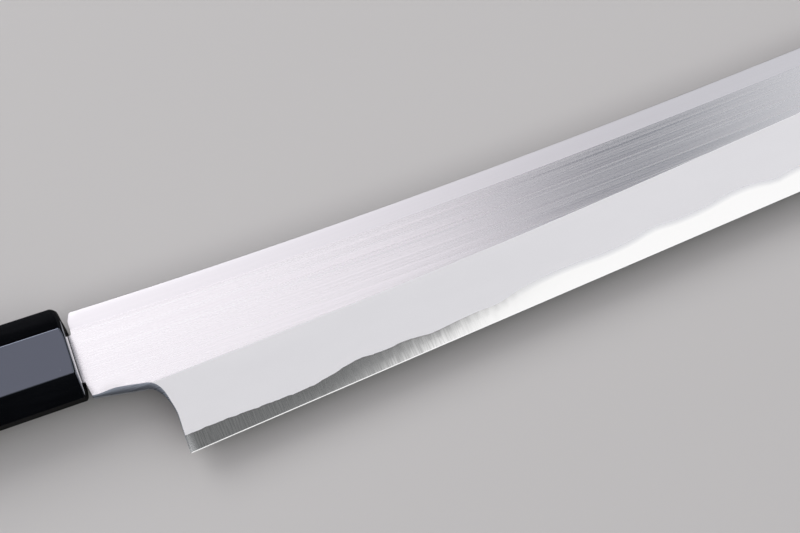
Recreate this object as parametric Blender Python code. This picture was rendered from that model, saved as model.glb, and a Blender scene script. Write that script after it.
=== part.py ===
"""Sakimaru takohiki: a long single-bevelled slicing knife with an octagonal wooden handle.

The knife lies on its side with the bevel up. Knife axes: +X runs from the butt to the point
along the handle's axis, +Y from the edge to the spine, +Z from the hollow back to the bevel.
Drawing zero is the middle of the ferrule's front face. The blade is drawn in its own plane,
with u along the straight part of the edge and v square to it, towards the spine.
"""

import math

import bmesh
import bpy
import numpy as np
from mathutils import Vector

MM = 0.001

# Blade outline
EDGE_LENGTH = 300.0 * MM        # heel to point, along the edge line
HEEL_HEIGHT = 38.9 * MM         # edge to spine at the heel
POINT_HEIGHT = 29.5 * MM        # point over the edge line
SPINE_POWER = 3.0               # power of the ease from the heel's height to the point's
POINT_RUN = 58.0 * MM           # length over which the edge sweeps up to the point
POINT_BLUNT = 0.4 * MM          # the point stops short by this, so that it has some body
EDGE_ANGLE = math.radians(4.67)  # edge line against the handle's axis
HEEL_REACH = 17.5 * MM          # heel ahead of the ferrule's front face
SPINE_RISE = 8.8 * MM           # spine over the handle's axis at the heel

# Blade thickness and bevel
MACHI_THICKNESS = 4.2 * MM      # at the blade's rear end
POINT_THICKNESS = 1.0 * MM
EDGE_THICKNESS = 0.12 * MM
HEEL_BEVEL = 17.9 * MM          # width of the bevel at the heel
WAIST_BEVEL = 15.95 * MM        # at its narrowest
FRONT_BEVEL = 16.7 * MM         # from the front reach to the start of the point
WAIST_REACH = 90.0 * MM         # narrowest place, ahead of the heel
FRONT_REACH = 183.0 * MM
BEVEL_POWER = 1.6               # power of the ease from the heel's bevel to the waist's
RIDGE_POWER = 2.6               # power of the ridge's sweep up to the point
ROLL_WIDTH = 3.8 * MM           # strip along the spine that rolls off the flat side
ROLL_DROP = 0.09 * MM           # by this much at the spine
SPINE_CHAMFER = 0.35 * MM       # eased corners of the spine
CHAMFER_SHARE = 0.25            # most that one takes of a face beside it
ROLL_SHARE = 0.5                # most that the rolled strip takes of the flat side

# Hollow of the back
HOLLOW_RADIUS = 390.0 * MM      # radius of the grinding wheel across the blade
EDGE_RIM = 2.2 * MM             # flat rim along the edge
SPINE_RIM = 3.0 * MM            # flat rim along the spine
HOLLOW_REACH = 8.0 * MM         # rear end of the hollow, ahead of the heel
HOLLOW_RUN = 26.0 * MM          # length over which it opens to full width
HOLLOW_MIN = 0.6 * MM           # width of the flat strip that stands in for no hollow
RIM_SHARE = 0.4                 # most that a rim takes of the blade's height, near the point
STRIP_SHARE = 0.2               # most that the flat strip takes of it
HOLLOW_STEPS = 8

# Edge steel: height of its border over the edge, as (distance ahead of the heel, height)
STEEL_START = 4.0 * MM          # rear end of the layer, ahead of the ferrule's front face
BORDER_CRESTS = (
    (0.0, 4.2), (19.0, 3.5), (32.0, 3.25), (42.5, 4.6), (49.5, 4.1), (54.5, 4.3), (62.0, 3.5),
    (72.5, 3.9), (77.5, 3.1), (89.5, 4.0), (99.0, 4.25), (104.5, 3.45), (117.5, 4.85),
    (122.5, 4.4), (138.0, 5.8), (149.0, 4.5),
)
BORDER_MEAN = 4.5 * MM          # past the last crest the border waves about this height
BORDER_SWING = 0.5 * MM
BORDER_WAVE = 23.0 * MM
BORDER_BEAT = 5.0               # waves over which the swing dies down and comes back, over 2 pi
WELD_LINE = 0.02 * MM           # between the two metals

# Rear end of the blade, neck and choil
BLADE_GAP = 0.15 * MM           # tang's shoulders ahead of the ferrule's front face
REAR_REACH = 1.2 * MM           # spine's rear corner ahead of the ferrule's front face
SHOULDER_FILLET = 3.2 * MM      # height of the hollow corner between shoulder and tang
FILLET_PULL = 0.33              # its curve's pull over its height: a smaller pull is a tighter corner
NECK_CORNER_REACH = 0.7 * MM    # lower rear corner ahead of the ferrule's front face
NECK_DROP = 11.2 * MM           # lower rear corner under the handle's axis
NECK_FALL = 1.65 * MM           # drop of the neck's lower edge from there to the choil
CHOIL_WIDTH = 5.1 * MM          # the choil's curve along the handle's axis
CHOIL_HEIGHT = 8.5 * MM         # and square to it
CHOIL_UPPER_PULL = 3.3 * MM     # how far the curve keeps the neck's direction
CHOIL_LOWER_PULL = 2.8 * MM     # how far it keeps the heel's direction
ROUND_SHARE = 0.35              # neck's and choil's upper corner: its radius over the thickness there
ROUND_REACH = 1.5 * MM          # how far the tool that rounds it stands out of the blade

# Tang
TANG_LENGTH = 90.0 * MM         # behind the ferrule's front face
TANG_ROOT_HEIGHT = 11.2 * MM
TANG_ROOT_DROP = 1.7 * MM       # middle of the root under the handle's axis
TANG_TIP_HEIGHT = 5.6 * MM
TANG_TIP_THICKNESS = 2.6 * MM
TANG_STEP = 0.1 * MM            # forged tang under the blade's faces, on each side
TANG_STUB = 2.4 * MM            # length of full blade thickness inside the ferrule

# Handle
HANDLE_LENGTH = 150.0 * MM
FERRULE_LENGTH = 30.0 * MM
FRONT_HEIGHT = 21.6 * MM        # along Y, at the ferrule's front face
FRONT_WIDTH = 17.6 * MM         # along Z
FRONT_SIDE_FLAT = 10.6 * MM     # height of the two wide facets
FRONT_TOP_FLAT = 7.9 * MM       # width of the spine-side and edge-side facets
BUTT_HEIGHT = 24.2 * MM
BUTT_WIDTH = 19.8 * MM
BUTT_SIDE_FLAT = 11.9 * MM
BUTT_TOP_FLAT = 8.9 * MM
FERRULE_ROUND = 1.2 * MM        # rounding of the ferrule's front edges
BUTT_ROUND = 1.0 * MM
ROUND_STEPS = 4
GLUE_LINE = 0.05 * MM           # between ferrule and grip

# Core, slot and seal
CLEARANCE = 0.3 * MM            # between a piece and what it is fitted into
FERRULE_WALL = 2.0 * MM         # ferrule's wall at the spine and edge sides
FERRULE_SIDE_WALL = 2.5 * MM    # ferrule's wall at the two wide facets
FERRULE_FRONT_WALL = 4.0 * MM
CORE_END_WALL = 9.0 * MM        # solid core behind the tang's tip
SEAL_WALL = 0.6 * MM
SEAL_INSET = 0.1 * MM           # resin's surface behind the ferrule's front face
CORNER_STEPS = 6
OVAL_SHARE = 0.49               # core's corner radius over its width: nearly half round at both ends

# Spacing of the drawn sections, and room that cutters have around what they cut
SECTION_STEP = 6.0 * MM
LAYER_STEP = 3.0 * MM
POINT_STEPS = 22
CURVE_STEPS = 12
ROUND_PATH_STEPS = 17           # unlike CURVE_STEPS, so that the tool's sections miss the wall's
SPARE = 4.0 * MM


def heel_u():
    """Place of the heel along the edge line."""
    return HEEL_REACH / math.cos(EDGE_ANGLE)


def point_u():
    """Place of the point along the edge line."""
    return heel_u() + EDGE_LENGTH


def sweep_u():
    """Place where the straight edge ends and the sweep to the point begins."""
    return point_u() - POINT_RUN


def sweep_radius():
    """Radius of the arc that is tangent to the edge and passes through the point."""
    return (POINT_RUN ** 2 + POINT_HEIGHT ** 2) / (2 * POINT_HEIGHT)


def edge_drop():
    """Edge line under the handle's axis at the ferrule's front face."""
    heel_spine = heel_u() * math.sin(EDGE_ANGLE) + HEEL_HEIGHT * math.cos(EDGE_ANGLE)
    return heel_spine - SPINE_RISE


def edge_v(u):
    """Edge at u: straight, then an arc."""
    run = max(0.0, u - sweep_u())
    return sweep_radius() - math.sqrt(sweep_radius() ** 2 - run ** 2)


def spine_v(u):
    """Spine at u."""
    left = 1.0 - (u - heel_u()) / EDGE_LENGTH
    return POINT_HEIGHT + (HEEL_HEIGHT - POINT_HEIGHT) * left ** SPINE_POWER


def bevel_width(u):
    """Width of the bevel at u, as if the edge ran on straight."""
    reach = max(0.0, u - heel_u())
    if reach < WAIST_REACH:
        left = 1.0 - reach / WAIST_REACH
        return WAIST_BEVEL + (HEEL_BEVEL - WAIST_BEVEL) * left ** BEVEL_POWER
    share = min(1.0, (reach - WAIST_REACH) / (FRONT_REACH - WAIST_REACH))
    return WAIST_BEVEL + (FRONT_BEVEL - WAIST_BEVEL) * (1 - math.cos(math.pi * share)) / 2


def ridge_v(u):
    """Ridge between the flat side and the bevel at u."""
    share = max(0.0, u - sweep_u()) / POINT_RUN
    return bevel_width(u) + (spine_v(u) - bevel_width(u)) * share ** RIDGE_POWER


def thickness(u):
    """Blade thickness at u, the same from the ridge to the spine."""
    return MACHI_THICKNESS + (POINT_THICKNESS - MACHI_THICKNESS) * u / point_u()


def border_height(u):
    """Height of the steel's wavy border over the edge, across the bevel."""
    reach = u - heel_u()
    crests = [(place * MM, height * MM) for place, height in BORDER_CRESTS]
    if reach <= crests[0][0]:
        return crests[0][1]
    for (near, low), (far, high) in zip(crests, crests[1:]):
        if reach <= far:
            share = (reach - near) / (far - near)
            return low + (high - low) * (1 - math.cos(math.pi * share)) / 2
    turn = 2 * math.pi * (reach - crests[-1][0]) / BORDER_WAVE
    return BORDER_MEAN + BORDER_SWING * math.sin(turn) * math.cos(turn / BORDER_BEAT)


def layer_z(u):
    """Top of the edge steel at u: it meets the bevel at the border's height."""
    share = border_height(u) / bevel_width(u)
    return EDGE_THICKNESS + (thickness(u) - EDGE_THICKNESS) * share


def hollow_span(u):
    """Lower and upper limit in v of the hollow at u."""
    height = spine_v(u) - edge_v(u)
    low = edge_v(u) + min(EDGE_RIM, height * RIM_SHARE)
    high = spine_v(u) - min(SPINE_RIM, height * RIM_SHARE)
    share = min(1.0, max(0.0, (u - heel_u() - HOLLOW_REACH) / HOLLOW_RUN))
    width = (high - low) * math.sqrt(1 - (1 - share) ** 2)
    width = max(width, min(HOLLOW_MIN, height * STRIP_SHARE))
    middle = (low + high) / 2
    return middle - width / 2, middle + width / 2


def blank_section(u):
    """Closed section of the whole blade at u, both metals together."""
    low, high = hollow_span(u)
    flat = spine_v(u) - ridge_v(u)
    chamfer = min(SPINE_CHAMFER, thickness(u) * CHAMFER_SHARE, flat * CHAMFER_SHARE)
    roll = min(ROLL_WIDTH, flat * ROLL_SHARE)
    shoulder = thickness(u) - ROLL_DROP
    points = [
        Vector((u, edge_v(u), 0)),
        Vector((u, edge_v(u), EDGE_THICKNESS)),
        Vector((u, ridge_v(u), thickness(u))),
        Vector((u, spine_v(u) - chamfer - roll, thickness(u))),
        Vector((u, spine_v(u) - chamfer, shoulder)),
        Vector((u, spine_v(u), shoulder - chamfer)),
        Vector((u, spine_v(u), chamfer)),
        Vector((u, spine_v(u) - chamfer, 0)),
    ]
    half = (high - low) / 2
    for step in range(HOLLOW_STEPS + 1):
        offset = half * (1 - 2 * step / HOLLOW_STEPS)
        depth = math.sqrt(HOLLOW_RADIUS ** 2 - offset ** 2) - math.sqrt(HOLLOW_RADIUS ** 2 - half ** 2)
        points.append(Vector((u, (low + high) / 2 + offset, depth)))
    return points


def blank_stations():
    """Places of the blade's sections: even along the straight edge, by angle along the sweep."""
    count = math.ceil((sweep_u() + SPARE) / SECTION_STEP)
    straight = [float(u) for u in np.linspace(-SPARE, sweep_u(), count + 1)]
    last = math.asin((POINT_RUN - POINT_BLUNT) / sweep_radius())
    angles = [last * step / POINT_STEPS for step in range(1, POINT_STEPS + 1)]
    return straight + [sweep_u() + sweep_radius() * math.sin(angle) for angle in angles]


def layer_sections(growth):
    """Sections of the space that the edge steel takes, wider than the blade and past the point."""
    start, end = STEEL_START / math.cos(EDGE_ANGLE) - growth, point_u() + SPARE
    low, high = -SPARE, HEEL_HEIGHT + 2 * SPARE
    sections = []
    for u in np.linspace(start, end, math.ceil((end - start) / LAYER_STEP) + 1):
        top = layer_z(u) + growth
        corners = ((low, -SPARE), (high, -SPARE), (high, top), (low, top))
        sections.append([Vector((u, v, z)) for v, z in corners])
    return sections


def bezier(start, start_pull, end_pull, end, steps=CURVE_STEPS):
    """Points of a cubic curve in the plane, both ends included."""
    points = []
    for step in range(steps + 1):
        t = step / steps
        weights = ((1 - t) ** 3, 3 * t * (1 - t) ** 2, 3 * t ** 2 * (1 - t), t ** 3)
        corners = (start, start_pull, end_pull, end)
        x = sum(weight * corner[0] for weight, corner in zip(weights, corners))
        y = sum(weight * corner[1] for weight, corner in zip(weights, corners))
        points.append((x, y))
    return points


def tang_limits(x):
    """Lower edge, upper edge and thickness of the tang at x."""
    share = -x / TANG_LENGTH
    height = TANG_ROOT_HEIGHT + (TANG_TIP_HEIGHT - TANG_ROOT_HEIGHT) * share
    middle = -TANG_ROOT_DROP * (1 - share)
    root_thickness = MACHI_THICKNESS - 2 * TANG_STEP
    depth = root_thickness + (TANG_TIP_THICKNESS - root_thickness) * share
    return middle - height / 2, middle + height / 2, depth


def choil_curve(steps=CURVE_STEPS):
    """The choil's curve, from the neck's lower edge down into the heel's straight end."""
    start = (HEEL_REACH - CHOIL_WIDTH, -NECK_DROP - NECK_FALL)
    end = (HEEL_REACH, start[1] - CHOIL_HEIGHT)
    start_pull = (start[0] + CHOIL_UPPER_PULL, start[1])
    end_pull = (HEEL_REACH, end[1] + CHOIL_LOWER_PULL)
    return bezier(start, start_pull, end_pull, end, steps)


def rear_outline():
    """Outline of what is cut away behind and under the blade, around the tang's stub."""
    tang_low, tang_high, _ = tang_limits(0.0)
    behind, above = -4 * SPARE, HEEL_HEIGHT
    below = -edge_drop() - SPARE
    shoulder_top = (REAR_REACH, tang_high + SHOULDER_FILLET)
    shoulder_end = (BLADE_GAP, tang_high)
    outline = [(behind, above), (REAR_REACH, above)]
    outline += bezier(shoulder_top, (REAR_REACH, tang_high + SHOULDER_FILLET * FILLET_PULL),
                      (REAR_REACH, tang_high), shoulder_end)
    outline += [(-TANG_STUB, tang_high), (-TANG_STUB, tang_low), (BLADE_GAP, tang_low)]
    outline += [(NECK_CORNER_REACH, -NECK_DROP)]
    outline += choil_curve()
    outline += [(HEEL_REACH, below), (behind, below)]
    return outline


def upper_z(x, y):
    """Height of the blade's upper face over its back at a place on the handle's axes."""
    u = x * math.cos(EDGE_ANGLE) + (y + edge_drop()) * math.sin(EDGE_ANGLE)
    v = (y + edge_drop()) * math.cos(EDGE_ANGLE) - x * math.sin(EDGE_ANGLE)
    share = min(1.0, max(0.0, v / ridge_v(u)))
    return EDGE_THICKNESS + (thickness(u) - EDGE_THICKNESS) * share


def round_sections():
    """Sections of the tool that rounds the upper corner of the neck and the choil."""
    curve = choil_curve(ROUND_PATH_STEPS)
    corner, start = (NECK_CORNER_REACH, -NECK_DROP), curve[0]
    slope = (start[1] - corner[1]) / (start[0] - corner[0])
    lead = (corner[0] - SPARE, corner[1] - SPARE * slope)
    tail = (HEEL_REACH, -edge_drop() - SPARE)
    path = [Vector(point) for point in [lead, *curve[1:-1], tail]]
    sections = []
    for index, point in enumerate(path):
        before, after = path[max(index - 1, 0)], path[min(index + 1, len(path) - 1)]
        along = (after - before).normalized()
        outward = Vector((along.y, -along.x))
        top = upper_z(*point) - MACHI_THICKNESS / 2
        radius = ROUND_SHARE * upper_z(*point)
        profile = []
        for step in range(ROUND_STEPS + 1):
            angle = math.pi / 2 * step / ROUND_STEPS
            profile.append(Vector((radius * (math.sin(angle) - 1), top - radius * (1 - math.cos(angle)))))
        profile[0] += (profile[0] - profile[1]) / 2
        profile[-1] += (profile[-1] - profile[-2]) / 2
        profile += [Vector((ROUND_REACH, profile[-1].y)), Vector((ROUND_REACH, top + ROUND_REACH)),
                    Vector((profile[0].x, top + ROUND_REACH))]
        sections.append([(*(point + outward * side), height) for side, height in profile])
    return sections


def tang_section(x, clearance=0.0):
    """Section of the tang at x, or of a slot around it."""
    low, high, depth = tang_limits(x)
    half = depth / 2 + clearance
    corners = ((low - clearance, -half), (high + clearance, -half),
               (high + clearance, half), (low - clearance, half))
    return [Vector((x, y, z)) for y, z in corners]


def rounded_outline(height, width, radius, middle=0.0):
    """Rectangle with round corners; a radius of half the width gives straight sides and round ends."""
    outline = []
    for corner, (side_y, side_z) in enumerate(((1, 1), (-1, 1), (-1, -1), (1, -1))):
        centre_y = middle + side_y * (height / 2 - radius)
        centre_z = side_z * (width / 2 - radius)
        for step in range(CORNER_STEPS + 1):
            angle = math.pi / 2 * (corner + step / CORNER_STEPS)
            outline.append((centre_y + radius * math.cos(angle), centre_z + radius * math.sin(angle)))
    return outline


def core_outline(clearance=0.0):
    """Outline of the oval core, or of the bore around it."""
    width = FRONT_WIDTH - 2 * FERRULE_SIDE_WALL - 2 * CLEARANCE + 2 * clearance
    height = FRONT_HEIGHT - 2 * FERRULE_WALL - 2 * CLEARANCE + 2 * clearance
    return rounded_outline(height, width, width * OVAL_SHARE)


def mouth_outline(growth):
    """Outline around the tang's root at the ferrule's mouth, grown by a distance."""
    low, high, _ = tang_limits(0.0)
    height, width = high - low + 2 * growth, MACHI_THICKNESS + 2 * growth
    return rounded_outline(height, width, min(growth, width / 3), (low + high) / 2)


def octagon(x, inset):
    """Section of the handle at x, drawn in by an inset along every facet."""
    share = -x / HANDLE_LENGTH
    height = FRONT_HEIGHT + (BUTT_HEIGHT - FRONT_HEIGHT) * share
    width = FRONT_WIDTH + (BUTT_WIDTH - FRONT_WIDTH) * share
    side = FRONT_SIDE_FLAT + (BUTT_SIDE_FLAT - FRONT_SIDE_FLAT) * share
    top = FRONT_TOP_FLAT + (BUTT_TOP_FLAT - FRONT_TOP_FLAT) * share
    lean = math.atan2(height - side, width - top)
    y_far, z_far = height / 2 - inset, width / 2 - inset
    z_near = top / 2 - inset * math.tan((math.pi / 2 - lean) / 2)
    y_near = side / 2 - inset * math.tan(lean / 2)
    quarter = ((y_far, z_near), (y_near, z_far))
    corners = list(quarter)
    corners += [(-y, z) for y, z in reversed(quarter)]
    corners += [(-y, -z) for y, z in quarter]
    corners += [(y, -z) for y, z in reversed(quarter)]
    return [Vector((x, y, z)) for y, z in corners]


def octagon_sections(rear, front, rear_round, front_round):
    """Sections of a stretch of the handle with a quarter round at either end."""
    sections = []
    for step in range(ROUND_STEPS + 1):
        angle = math.pi / 2 * step / ROUND_STEPS
        sections.append((rear + rear_round * (1 - math.cos(angle)), rear_round * (1 - math.sin(angle))))
        if rear_round == 0:
            break
    for step in range(ROUND_STEPS, -1, -1):
        angle = math.pi / 2 * step / ROUND_STEPS
        sections.append((front - front_round * (1 - math.cos(angle)), front_round * (1 - math.sin(angle))))
        if front_round == 0:
            break
    return [octagon(x, inset) for x, inset in sections]


def new_collection(name):
    """Make a collection under the scene's own."""
    collection = bpy.data.collections.new(name)
    bpy.context.scene.collection.children.link(collection)
    return collection


def place(name, data, collection, parent):
    """Put an object on a parent, in a collection."""
    obj = bpy.data.objects.new(name, data)
    obj.parent = parent
    collection.objects.link(obj)
    if collection.name == "cutters":
        obj.hide_render = True
        obj.display_type = "WIRE"
    return obj


def loft(name, sections, collection, parent):
    """Skin a row of closed sections that have the same number of points, and cap both ends."""
    bm = bmesh.new()
    rings = [[bm.verts.new(point) for point in section] for section in sections]
    for near, far in zip(rings, rings[1:]):
        for index in range(len(near)):
            after = (index + 1) % len(near)
            bm.faces.new((near[index], near[after], far[after], far[index]))
    bm.faces.new(rings[0])
    bm.faces.new(rings[-1])
    bmesh.ops.recalc_face_normals(bm, faces=bm.faces)
    mesh = bpy.data.meshes.new(name)
    bm.to_mesh(mesh)
    bm.free()
    return place(name, mesh, collection, parent)


def prism(name, outline, low, high, collection, parent, along_x=False):
    """Extrude a flat outline between two heights, along Z or along X."""
    curve = bpy.data.curves.new(name + "_outline", "CURVE")
    curve.dimensions = "2D"
    curve.fill_mode = "BOTH"
    curve.extrude = (high - low) / 2
    spline = curve.splines.new("POLY")
    spline.points.add(len(outline) - 1)
    for point, (first, second) in zip(spline.points, outline):
        point.co = (first, second, 0, 1)
    spline.use_cyclic_u = True
    guide = bpy.data.objects.new(name + "_outline", curve)
    bpy.context.scene.collection.objects.link(guide)
    middle = (low + high) / 2
    guide.location = (middle, 0, 0) if along_x else (0, 0, middle)
    guide.rotation_euler = (math.pi / 2, 0, math.pi / 2) if along_x else (0, 0, 0)
    bpy.context.view_layer.update()
    depsgraph = bpy.context.evaluated_depsgraph_get()
    mesh = bpy.data.meshes.new_from_object(guide.evaluated_get(depsgraph))
    mesh.name = name
    bm = bmesh.new()
    bm.from_mesh(mesh)
    bmesh.ops.remove_doubles(bm, verts=bm.verts, dist=0.001 * MM)
    bmesh.ops.recalc_face_normals(bm, faces=bm.faces)
    bm.to_mesh(mesh)
    bm.free()
    obj = place(name, mesh, collection, parent)
    obj.matrix_world = guide.matrix_world
    bpy.data.objects.remove(guide)
    return obj


def boolean(obj, other, operation):
    """Add an exact Boolean to an object."""
    modifier = obj.modifiers.new(other.name, "BOOLEAN")
    modifier.operation = operation
    modifier.object = other


def on_blade_plane(obj):
    """Move an object drawn in u, v and z to its place on the handle's axis."""
    obj.location = (0, -edge_drop(), -MACHI_THICKNESS / 2)
    obj.rotation_euler = (0, 0, EDGE_ANGLE)


def finish(obj, colour, roughness, metallic=0.0):
    """Give an object its own plain material."""
    material = bpy.data.materials.new(obj.name)
    material.use_nodes = True
    shader = material.node_tree.nodes["Principled BSDF"]
    shader.inputs["Base Color"].default_value = (*colour, 1)
    shader.inputs["Roughness"].default_value = roughness
    shader.inputs["Metallic"].default_value = metallic
    obj.data.materials.clear()
    obj.data.materials.append(material)


def smooth(obj):
    """Shade a round piece smooth between its real corners."""
    obj.data.shade_smooth()
    obj.data.set_sharp_from_angle(angle=math.radians(30))


def make_blade(parts, cutters, parent):
    """Blade: one blank, cut to its rear outline and parted into iron and steel."""
    sections = [blank_section(u) for u in blank_stations()]
    rear = prism("rear_cutter", rear_outline(), -2 * MACHI_THICKNESS, 2 * MACHI_THICKNESS, cutters, parent)
    layer = loft("steel_layer", layer_sections(0.0), cutters, parent)
    on_blade_plane(layer)
    recess = loft("steel_recess", layer_sections(WELD_LINE), cutters, parent)
    on_blade_plane(recess)
    rounding = loft("rounding_cutter", round_sections(), cutters, parent)
    tang_start = -TANG_STUB / 2
    tang = loft("tang_guide", [tang_section(tang_start), tang_section(-TANG_LENGTH)], cutters, parent)

    cladding = loft("blade_cladding", sections, parts, parent)
    on_blade_plane(cladding)
    boolean(cladding, rear, "DIFFERENCE")
    boolean(cladding, rounding, "DIFFERENCE")
    boolean(cladding, recess, "DIFFERENCE")
    boolean(cladding, tang, "UNION")
    finish(cladding, (0.80, 0.79, 0.81), 0.35, 1.0)

    steel = loft("edge_steel", sections, parts, parent)
    on_blade_plane(steel)
    boolean(steel, rear, "DIFFERENCE")
    boolean(steel, rounding, "DIFFERENCE")
    boolean(steel, layer, "INTERSECT")
    finish(steel, (0.62, 0.63, 0.65), 0.25, 1.0)


def make_ferrule(parts, cutters, parent):
    """Horn ferrule: closed front wall with a slot for the tang, bored from behind for the core."""
    sections = octagon_sections(-FERRULE_LENGTH, 0.0, 0.0, FERRULE_ROUND)
    ferrule = loft("ferrule", sections, parts, parent)
    bore = prism("ferrule_bore_cutter", core_outline(CLEARANCE), -FERRULE_LENGTH - SPARE,
                 -FERRULE_FRONT_WALL, cutters, parent, along_x=True)
    slot = prism("ferrule_slot_cutter", mouth_outline(2 * CLEARANCE + SEAL_WALL),
                 -FERRULE_FRONT_WALL - SPARE, SPARE, cutters, parent, along_x=True)
    boolean(ferrule, bore, "DIFFERENCE")
    boolean(ferrule, slot, "DIFFERENCE")
    finish(ferrule, (0.012, 0.012, 0.014), 0.12)


def make_seal(parts, cutters, parent):
    """Resin ring between the tang and the slot in the ferrule's front wall."""
    seal = prism("tang_seal", mouth_outline(CLEARANCE + SEAL_WALL), -FERRULE_FRONT_WALL,
                 -SEAL_INSET, parts, parent, along_x=True)
    opening = prism("seal_cutter", mouth_outline(CLEARANCE), -FERRULE_FRONT_WALL - SPARE,
                    SPARE, cutters, parent, along_x=True)
    boolean(seal, opening, "DIFFERENCE")
    finish(seal, (0.02, 0.02, 0.02), 0.4)
    smooth(seal)


def make_core(parts, cutters, parent):
    """Softwood core: joins ferrule and grip, with a tapered slot for the tang."""
    front = -FERRULE_FRONT_WALL - CLEARANCE
    core = prism("tenon_core", core_outline(), -core_reach(), front, parts, parent, along_x=True)
    sections = [tang_section(front + SPARE, CLEARANCE), tang_section(-TANG_LENGTH - CLEARANCE, CLEARANCE)]
    slot = loft("core_slot_cutter", sections, cutters, parent)
    boolean(core, slot, "DIFFERENCE")
    finish(core, (0.62, 0.50, 0.32), 0.7)
    smooth(core)


def core_reach():
    """Rear end of the core behind the ferrule's front face."""
    return TANG_LENGTH + CLEARANCE + CORE_END_WALL


def make_handle_body(parts, cutters, parent):
    """Ebony grip: tapered octagon with a blind bore for the core."""
    sections = octagon_sections(-HANDLE_LENGTH, -FERRULE_LENGTH - GLUE_LINE, BUTT_ROUND, 0.0)
    body = loft("handle_body", sections, parts, parent)
    bore = prism("body_bore_cutter", core_outline(CLEARANCE), -core_reach() - CLEARANCE,
                 -FERRULE_LENGTH + SPARE, cutters, parent, along_x=True)
    boolean(body, bore, "DIFFERENCE")
    finish(body, (0.03, 0.022, 0.018), 0.3)


def stand_on_origin(parts, origin):
    """Move the knife so that the middle of its box's underside is at the world's origin."""
    bpy.context.view_layer.update()
    depsgraph = bpy.context.evaluated_depsgraph_get()
    corners = []
    for obj in parts.objects:
        evaluated = obj.evaluated_get(depsgraph)
        corners += [evaluated.matrix_world @ vertex.co for vertex in evaluated.data.vertices]
    low, high = np.min(corners, axis=0), np.max(corners, axis=0)
    origin.location = (-(low[0] + high[0]) / 2, -(low[1] + high[1]) / 2, -low[2])


def main():
    """Build the knife."""
    for obj in list(bpy.data.objects):
        bpy.data.objects.remove(obj)
    parts = new_collection("sakimaru_takohiki")
    cutters = new_collection("cutters")
    origin = bpy.data.objects.new("knife_origin", None)
    bpy.context.scene.collection.objects.link(origin)
    make_blade(parts, cutters, origin)
    make_ferrule(parts, cutters, origin)
    make_seal(parts, cutters, origin)
    make_core(parts, cutters, origin)
    make_handle_body(parts, cutters, origin)
    stand_on_origin(parts, origin)


main()
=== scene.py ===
"""Looks of a sakimaru takohiki, a long single-bevelled slicing knife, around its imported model.

The knife lies on its side with the bevel up. Lengths are in millimetres until a mesh is placed.
Handle axes: zero is the middle of the ferrule's front face, x runs to the point, y from the
edge to the spine, z from the hollow back to the bevel. The blade is drawn in its own plane,
with u along the straight part of the edge and v square to it, towards the spine.
"""

import logging
import math
from collections.abc import Sequence
from dataclasses import dataclass, field
from enum import IntEnum

import bmesh
import bpy
import numpy as np
from mathutils import Matrix, Vector
from mathutils.geometry import delaunay_2d_cdt


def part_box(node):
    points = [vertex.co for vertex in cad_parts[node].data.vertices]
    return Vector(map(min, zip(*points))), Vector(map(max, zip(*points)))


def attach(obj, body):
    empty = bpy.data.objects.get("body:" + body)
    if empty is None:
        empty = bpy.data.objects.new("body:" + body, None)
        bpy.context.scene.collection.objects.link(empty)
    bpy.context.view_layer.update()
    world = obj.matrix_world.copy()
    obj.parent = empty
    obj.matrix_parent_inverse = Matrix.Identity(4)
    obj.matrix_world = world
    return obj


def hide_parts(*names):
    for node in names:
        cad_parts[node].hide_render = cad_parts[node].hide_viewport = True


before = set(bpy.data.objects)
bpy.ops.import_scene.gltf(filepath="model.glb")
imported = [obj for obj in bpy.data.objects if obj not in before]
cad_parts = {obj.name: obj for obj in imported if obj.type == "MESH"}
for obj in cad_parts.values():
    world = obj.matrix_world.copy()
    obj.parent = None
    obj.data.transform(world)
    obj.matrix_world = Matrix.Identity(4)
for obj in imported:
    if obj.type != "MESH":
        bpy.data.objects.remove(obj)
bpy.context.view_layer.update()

MM = 0.001
BODY = "root"
BRUSH_MAP = "brush"
BORDER_MAP = "border"
STREAK_ROUGH = 0.6
# Sockets of a colour mix: its share and both colours, then its result
MIX_INPUTS = (0, 6, 7)
MIX_OUTPUT = 2
LOG = logging.getLogger("knife")

Array = np.ndarray
Colour = tuple[float, float, float]
Span = tuple[float, float]
Stretch = tuple[float, float, int]
Socket = bpy.types.NodeSocket


def handle_zero() -> Vector:
    """Find the middle of the ferrule's front face in the frame.

    Returns:
        The place in millimetres.
    """
    low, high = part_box("ferrule")
    return Vector((high.x, (low.y + high.y) / 2, (low.z + high.z) / 2)) / MM


def quarter_round(distance: Array, radius: Array | float) -> Array:
    """Work out how far a quarter round falls below a corner's flat.

    Args:
        distance: Distance from the corner's outer face.
        radius: Radius of the round.

    Returns:
        The fall, which is zero past the radius.
    """
    inside = np.clip(radius - distance, 0.0, radius)
    return radius - np.sqrt(np.maximum(radius ** 2 - inside ** 2, 0.0))


def smooth_step(value: Array, start: float, end: float) -> Array:
    """Ease from 0 to 1 between two values.

    Args:
        value: What the ease follows.
        start: Where it is 0.
        end: Where it is 1.

    Returns:
        The eased share.
    """
    share = np.clip((value - start) / (end - start), 0.0, 1.0)
    return share * share * (3 - 2 * share)


def bezier(corners: Sequence[tuple[float, float]], steps: int) -> Array:
    """Points of a cubic curve in the plane.

    Args:
        corners: Start, the two pulls, and end.
        steps: Number of stretches.

    Returns:
        One row for each point, both ends included.
    """
    t = np.linspace(0.0, 1.0, steps + 1)[:, None]
    weights = ((1 - t) ** 3, 3 * t * (1 - t) ** 2, 3 * t ** 2 * (1 - t), t ** 3)
    return sum(weight * np.array(corner) for weight, corner in zip(weights, corners))


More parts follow.
